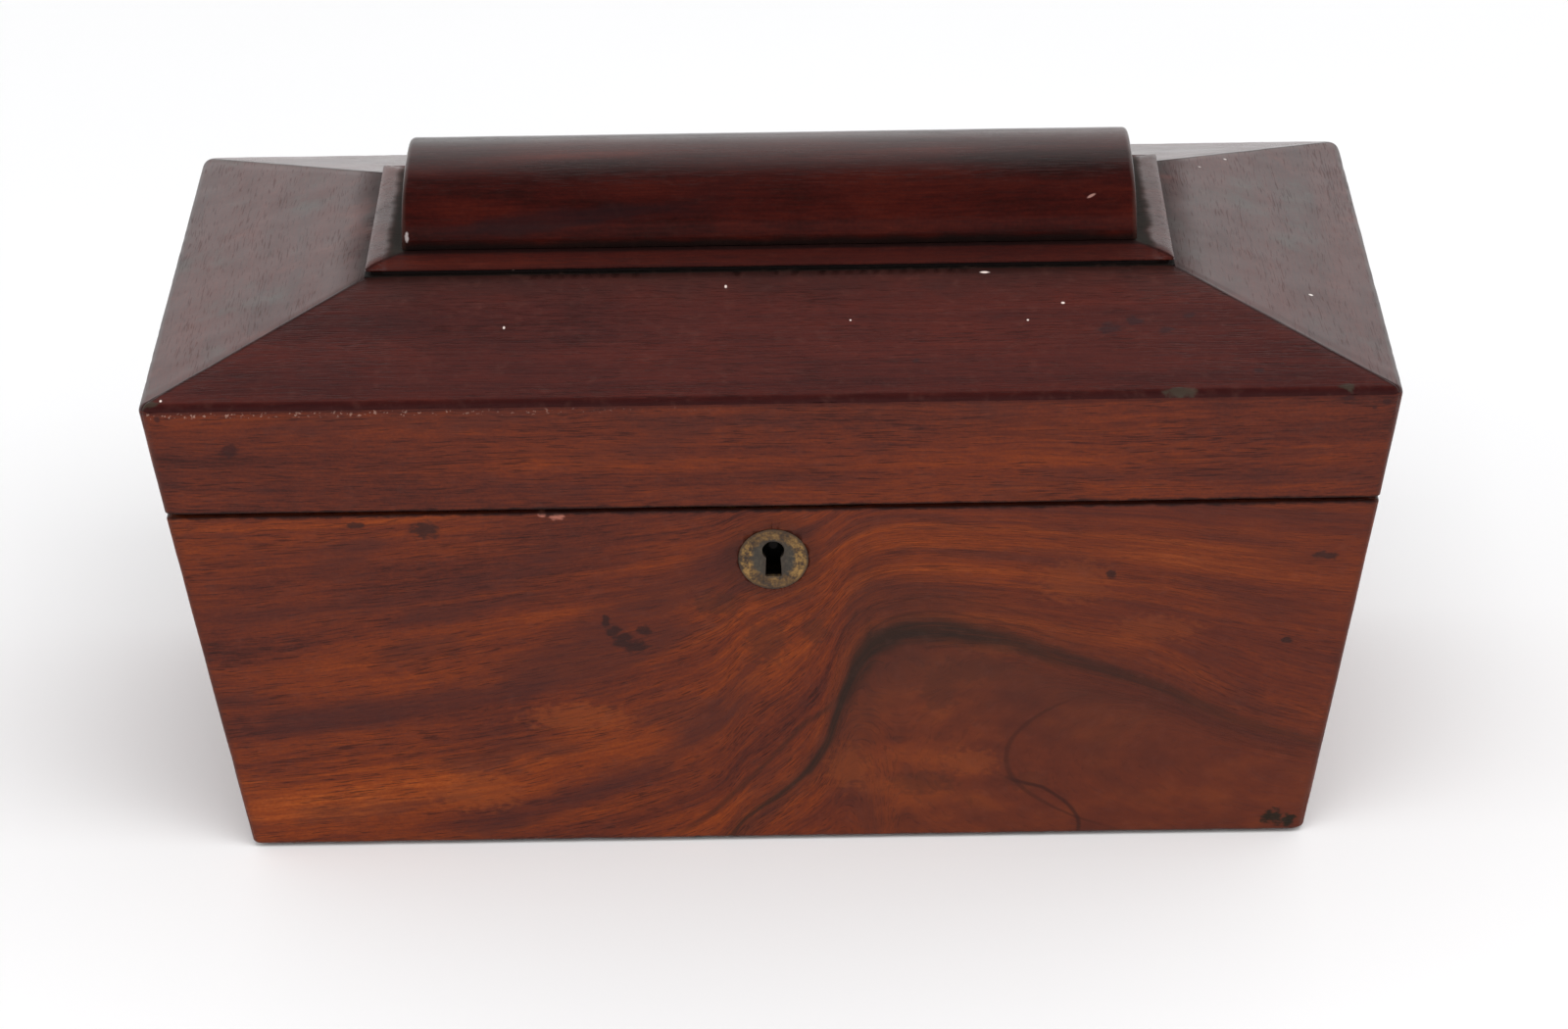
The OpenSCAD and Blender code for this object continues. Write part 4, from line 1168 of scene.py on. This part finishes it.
def escutcheon_mesh():
    """A worn brass disc, let into the board, with an eased rim, a dished middle and a keyhole."""
    count = 160
    angles = [2 * math.pi * (j + 0.5) / count for j in range(count)]
    hole = np.array([keyhole_radius(a) for a in angles])
    outline = [  # share of the way from the hole's edge to the rim, height over the board
        (1.0, -1.5), (1.0, -0.12), (0.992, 0.02), (0.972, 0.10), (0.94, 0.12), (0.86, 0.12),
        (0.76, 0.09), (0.66, -0.06), (0.58, -0.22), (0.48, -0.30), (0.3, -0.32), (0.14, -0.34),
        (0.05, -0.40), (0.0, -0.56), (0.0, -1.5)]
    top_edge = Vector((0, low("front_board").y, BODY_TOP))
    up = Vector((0, -math.sin(LEAN), math.cos(LEAN)))
    out = Vector((0, -math.cos(LEAN), -math.sin(LEAN)))
    centre = top_edge - up * KEY_DROP
    bm = bmesh.new()
    rows = []
    for share, height in outline:
        row = []
        for a, r0 in zip(angles, hole):
            r = r0 + (ESCUTCHEON_R - 0.03 - r0) * share
            x, y = r * math.cos(a), r * math.sin(a)
            lift = height
            if 0 < share < 1:
                lift += 0.05 * wobble((x, y, 0), 1.4, 3.0) + 0.04 * wobble((x, y, 2), 0.6, 6.0)
            at = centre + Vector((x, 0, 0)) + up * y + out * lift
            row.append(bm.verts.new(at * MM))
        rows.append(row)
    for a, b in zip(rows, rows[1:] + rows[:1]):
        for j in range(count):
            k = (j + 1) % count
            bm.faces.new((a[j], a[k], b[k], b[j]))
    return facing_out(bm, bpy.data.meshes.new("escutcheon"))


piece("escutcheon_disc", escutcheon_mesh(), "carcase", "brass", OLD_BRASS, "escutcheon", angle=50)


# ---- Baize, velvet and glass ---------------------------------------------------------------


def baize_mesh():
    """A sheet of baize, glued under the base, with a slightly uneven cut edge."""
    top = high("base_baize")
    rings = []
    for inset, z in ((-0.5, 0.03), (-0.12, 0.05), (0.0, 0.3), (-0.05, 0.65), (-0.4, 0.78)):
        flat = ring(top.x + inset, top.y + inset, [1.5] * 4, (110, 66, 5))
        for point in flat:
            sunk = 0.5 + 0.5 * wobble((*point, 0), 6, 1.0)
            point *= 1 - 0.5 * sunk / np.linalg.norm(point)
        rings.append(raised(flat, z))
    return loft("base_baize", rings)


def pad_mesh(node):
    """A board-backed velvet pad: its face is crowned, and its edges are pulled in between tacks."""
    bottom, top = low(node), high(node)
    half_x, half_y, thick = top.x, top.y, top.z - bottom.z
    section = [(-0.2, 1.0), (0.0, 0.85), (-0.1, 0.6), (-0.5, 0.35), (-1.3, 0.17), (-2.6, 0.07),
               (-5, 0.03), (-9, 0.015), (-15, 0.005), (-24, 0.0), (-38, 0.0), (-55, 0.0)]
    rings = []
    for inset, up in section:
        flat = ring(half_x + inset, half_y + inset, [max(0.6, 3 + inset * 0.2)] * 4, (100, 56, 6))
        heights = []
        for x, y in flat:
            edge = math.exp(inset / 6)
            pull = 0.09 * thick * edge * math.cos((x if abs(y) > half_y - 30 else y) / 2.4)
            crease = 0.05 * thick * wobble((x, y, 0), 18, 2.0)
            heights.append(bottom.z + 0.12 + (thick - 0.15) * up
                           + (0.10 * thick + pull + crease) * (1 - up))
        rings.append(raised(flat, heights))
    return loft(node, rings)


baize = piece("base_baize_cloth", baize_mesh(), "carcase", "baize", BAIZE, "base_baize")

lid_pad = piece("lid_velvet_pad", pad_mesh("lid_pad"), "lid", "velvet", VELVET, "lid_pad",
                angle=60)


def bowl_pad_mesh():
    """A disc of velvet over a thin wad, with a soft domed edge."""
    foot, top = low("bowl_pad"), high("bowl_pad")
    thick = top.z - foot.z
    outline = [(0, foot.z + 0.02), (top.x - 1.0, foot.z + 0.02), (top.x - 0.35, foot.z + 0.25),
               (top.x - 0.15, foot.z + 0.8), (top.x - 0.5, foot.z + 1.4),
               (top.x - 1.5, top.z - 0.2), (top.x - 3.5, top.z - 0.06), (top.x - 9, top.z - 0.03),
               (top.x * 0.5, top.z - 0.03), (top.x * 0.2, top.z - 0.03), (0, top.z - 0.03)]

    def puckered(r, z, a):
        low_in = 0.10 * thick * math.sin(a * 36) if r > top.x - 3 else 0.0
        return r - abs(low_in)
    return lathe("bowl_pad", outline, 144, puckered)


bowl_pad = piece("bowl_velvet_pad", bowl_pad_mesh(), "carcase", "velvet", VELVET, "bowl_pad",
                 angle=60)


def bowl_mesh():
    """A thick cut-glass bowl: upright flutes on the outside and a plain band under the rim."""
    foot, top = low("mixing_bowl"), high("mixing_bowl")
    rim_r, foot_r = top.x, 31.0
    glass, base = 4.0, 9.0
    outer = []
    steps = 26
    for i in range(steps + 1):
        t = i / steps
        outer.append((foot_r + (rim_r - foot_r) * t, foot.z + 1 + (top.z - 2 - foot.z - 1) * t))
    outline = [(0, foot.z + 0.6), (foot_r - 8, foot.z + 0.5), (foot_r - 5, foot.z + 0.05),
               (foot_r - 1, foot.z + 0.03), (foot_r - 0.3, foot.z + 0.3)]
    outline += [(r - 0.02, z) for r, z in outer]
    outline += [(rim_r - 0.1, top.z - 1.2), (rim_r - 0.5, top.z - 0.4), (rim_r - 1.2, top.z - 0.05),
                (rim_r - 2.0, top.z - 0.1), (rim_r - 3.0, top.z - 0.9)]
    inner_low = foot_r - 3.5
    for i in range(21):
        t = 1 - i / 20
        outline.append((inner_low + (rim_r - glass - inner_low) * t,
                        foot.z + base + 4 + (top.z - 2 - foot.z - base - 4) * t))
    outline += [(inner_low - 1, foot.z + base + 2.2), (inner_low - 3, foot.z + base + 0.8),
                (inner_low - 7, foot.z + base + 0.2), (0, foot.z + base + 0.05)]
    flutes = 24
    band_z = top.z - 17

    def cut(r, z, a):
        out = foot_r + (rim_r - foot_r) * (z - foot.z) / (top.z - foot.z)
        on_outside = r > out - 1.0 and foot.z + 1.5 < z < top.z - 3
        if not on_outside:
            return r
        phase = (a * flutes / (2 * math.pi)) % 1.0
        scoop = 1 - (2 * phase - 1) ** 2
        arch = band_z - 5 * (2 * phase - 1) ** 2
        deep = min(1.0, max(0.0, (arch - z) / 3)) * min(1.0, (z - foot.z - 1.5) / 3)
        ring_cut = 0.5 * max(0.0, 1 - abs(z - band_z - 4) / 1.4)
        return r - 0.95 * scoop * deep - ring_cut
    return lathe("mixing_bowl", outline, flutes * 10, cut)


piece("cut_glass_bowl", bowl_mesh(), "bowl", "glass", GLASS, "mixing_bowl", angle=24)


# ---- Canister lids and knobs ---------------------------------------------------------------


LID_EDGE = 4.5  # thickness of a canister's lid at its edge
PLUG_INSET = 4.5 + 0.6 + 0.5 + 0.05  # the canister's wall, its foil, the plug's ease and a hair
KNOB_TALL = 8


def canister_lid_mesh(node):
    """A lid with a thumbnail edge, a sunk margin and a raised field, over a plug."""
    bottom, top = low(node), high(node)
    sign = 1 if top.x > 0 else -1
    inner_x = min(abs(bottom.x), abs(top.x))
    outer_x = max(abs(bottom.x), abs(top.x))
    half_y = top.y
    lip_z = top.z - LID_EDGE
    section = [(-PLUG_INSET - 8, bottom.z + 0.02), (-PLUG_INSET - 0.4, bottom.z + 0.02),
               (-PLUG_INSET, bottom.z + 0.5), (-PLUG_INSET, lip_z), (-0.7, lip_z + 0.02),
               (-0.62, lip_z + 0.25)]
    for i in range(9):
        a = math.pi / 2 * i / 8
        section.append((-0.35 - 2.2 * (1 - math.cos(a)), lip_z + 1.6 + 2.2 * math.sin(a)))
    section += [(-4.2, top.z - 0.68), (-4.4, top.z - 0.62), (-4.7, top.z - 0.25),
                (-5.2, top.z - 0.04), (-6.2, top.z - 0.02), (-14, top.z - 0.02)]
    rings = []
    mid_x, half_x = (inner_x + outer_x) / 2, (outer_x - inner_x) / 2
    for inset, z in section:
        lean_in = TAPER * (top.z - z)
        flat = ring(half_x - lean_in / 2 + inset, half_y - lean_in + inset, [0.8] * 4, (20, 44, 4))
        flat[:, 0] = sign * (flat[:, 0] + mid_x - lean_in / 2)
        if sign < 0:
            flat = flat[::-1]
        rings.append(raised(flat, z))
    return loft(node, rings), sign * mid_x


def knob_mesh(node, at_x):
    """A turned bone knob with a bead on its collar and a fine line round the button."""
    z0 = high(node).z - KNOB_TALL
    outline = [(0, z0 + 0.02), (3.4, z0 + 0.02), (3.58, z0 + 0.2), (3.55, z0 + 0.6),
               (3.2, z0 + 0.85), (2.7, z0 + 0.95), (2.45, z0 + 1.35), (2.1, z0 + 2.0),
               (2.0, z0 + 2.5), (2.15, z0 + 3.0), (2.5, z0 + 3.4), (3.4, z0 + 3.75),
               (4.3, z0 + 4.2), (4.8, z0 + 4.8), (4.95, z0 + 5.35), (4.78, z0 + 5.85),
               (4.62, z0 + 5.95), (4.58, z0 + 6.1), (4.2, z0 + 6.7), (3.4, z0 + 7.3),
               (2.4, z0 + 7.7), (1.2, z0 + 7.92), (0.4, z0 + 7.97), (0, z0 + 7.98)]
    mesh = lathe(node, outline, 64)
    mesh.transform(Matrix.Translation((at_x * MM, 0, 0)))
    return mesh


for side in ("left", "right"):
    node = body = f"{side}_canister_lid"
    lid_mesh, knob_x = canister_lid_mesh(node)
    piece(node + "_wood", lid_mesh, body, "interior_mahogany", INSIDE_FLAT, node)
    knob = f"{side}_knob"
    piece(f"{side}_bone_knob", knob_mesh(knob, knob_x), body, "bone", BONE, knob, angle=50)


# ---- CAD nodes that stay -------------------------------------------------------------------


def keep(nodes, material, bevel):
    """Eases the edges of CAD nodes and gives them a material."""
    for node in nodes:
        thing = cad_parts[node]
        thing.data.materials.clear()
        thing.data.materials.append(material)
        thing.data.shade_smooth()
        weld = thing.modifiers.new("weld", "WELD")
        weld.merge_threshold = 0.001 * MM
        if bevel:
            ease = thing.modifiers.new("ease", "BEVEL")
            ease.width = bevel * MM
            ease.segments = 3
            ease.limit_method = "ANGLE"
            ease.angle_limit = math.radians(30)
        thing.modifiers.new("normals", "WEIGHTED_NORMAL").keep_sharp = True


def both(name):
    return [f"left_{name}", f"right_{name}"]


keep(["crown_board"], CROWN, 0)
keep(["base_board"], PINE, 0)
keep(["lid_panel"] + [f"roof_board_{side}" for side in ("front", "back", "left", "right")],
     STAINED_PINE, 0)
keep(both("partition"), INSIDE_CROSS, 0.5)
keep(["bowl_collar_board"], INSIDE_LONG, 0.5)
keep(both("canister_front") + both("canister_back"), INSIDE_LONG, 0.25)
keep(both("canister_outer") + both("canister_inner"), INSIDE_CROSS, 0.25)
keep(both("canister_bottom"), INSIDE_FLAT, 0)
keep(both("canister_foil"), FOIL, 0.1)
keep(["lock_plate", "lock_cap", "link_plate"], LOCK_BRASS, 0.12)
keep(both("hinge_body_leaf") + both("hinge_lid_leaf"), BRASS, 0.12)
keep(["carcase_screws", "lid_screws"], BRASS, 0)
keep(["key_pin", "bolt_spring", "lock_bolt", "hinge_pins"], STEEL, 0.08)


# ---- Floor, light and camera ---------------------------------------------------------------


def floor_material():
    s = Shader("pale_floor")
    x, y, z = s.place()
    cloud = s.noise(x / 300, y / 300, 0.0, 2.0)
    shade = s.ramp(cloud + 0.5, [(0.2, (0.93, 0.93, 0.93, 1)), (0.8, (0.95, 0.95, 0.95, 1))])
    return s.finish(base=shade, rough=0.8, level=0.1)


def make_floor():
    size = 30  # metres
    mesh = bpy.data.meshes.new("floor")
    corners = [(-size, -size, 0), (size, -size, 0), (size, size, 0), (-size, size, 0)]
    mesh.from_pydata(corners, [], [(0, 1, 2, 3)])
    mesh.materials.append(floor_material())
    add("floor", mesh)


STUDIO_LIGHT = 1.42
WALL_END = (34, (1.0, 1.0, 1.0, 1))  # elevation in degrees, and colour
CEILING_START = (48, (0.24, 0.24, 0.25, 1))


def make_world():
    """A pale studio: bright walls all round and a darker ceiling, the same from every side."""
    world = bpy.data.worlds.new("studio")
    bpy.context.scene.world = world
    world.use_nodes = True
    nodes, links = world.node_tree.nodes, world.node_tree.links
    nodes.clear()
    output = nodes.new("ShaderNodeOutputWorld")
    background = nodes.new("ShaderNodeBackground")
    ramp = nodes.new("ShaderNodeValToRGB")
    split = nodes.new("ShaderNodeSeparateXYZ")
    at = nodes.new("ShaderNodeTexCoord")
    links.new(at.outputs["Generated"], split.inputs[0])
    links.new(split.outputs["Z"], ramp.inputs["Fac"])
    links.new(ramp.outputs["Color"], background.inputs["Color"])
    links.new(background.outputs[0], output.inputs[0])
    background.inputs["Strength"].default_value = STUDIO_LIGHT
    for element, (elevation, shade) in zip(ramp.color_ramp.elements, (WALL_END, CEILING_START)):
        element.position = math.sin(math.radians(elevation))
        element.color = shade


def make_light():
    lamp = bpy.data.lights.new("soft_box", "AREA")
    lamp.shape = "RECTANGLE"
    lamp.size, lamp.size_y = 2.4, 1.6
    lamp.energy = 40
    thing = add("soft_box", lamp)
    thing.location = (0.3, -1.5, 2.4)
    thing.visible_glossy = False
    aim = Vector((0, 0, 0.08)) - thing.location
    thing.rotation_euler = aim.to_track_quat("-Z", "Y").to_euler()


CAMERA_AT = (0.009, -1.4457, 0.6638)
CAMERA_TURN = (-0.26, 22.667, -0.941)  # pan to the right, tilt down and roll, in degrees
FOCAL_LENGTH = 136.95


def make_camera():
    """Turned a little left, tilted down and rolled, as it stood before the caddy."""
    pan, tilt, roll = (math.radians(angle) for angle in CAMERA_TURN)
    forward = Vector((math.sin(pan) * math.cos(tilt), math.cos(pan) * math.cos(tilt),
                      -math.sin(tilt)))
    level_right = Vector((math.cos(pan), -math.sin(pan), 0))
    level_up = level_right.cross(forward)
    right = level_right * math.cos(roll) + level_up * math.sin(roll)
    up = level_up * math.cos(roll) - level_right * math.sin(roll)
    lens = bpy.data.cameras.new("camera")
    lens.sensor_width = 36
    lens.lens = FOCAL_LENGTH
    lens.clip_start, lens.clip_end = 0.05, 100
    camera = add("camera", lens)
    turn = Matrix((right, up, -forward)).transposed().to_4x4()
    camera.matrix_world = Matrix.Translation(CAMERA_AT) @ turn
    bpy.context.scene.camera = camera


make_floor()
make_world()
make_light()
make_camera()
bpy.context.scene.view_settings.view_transform = "Standard"
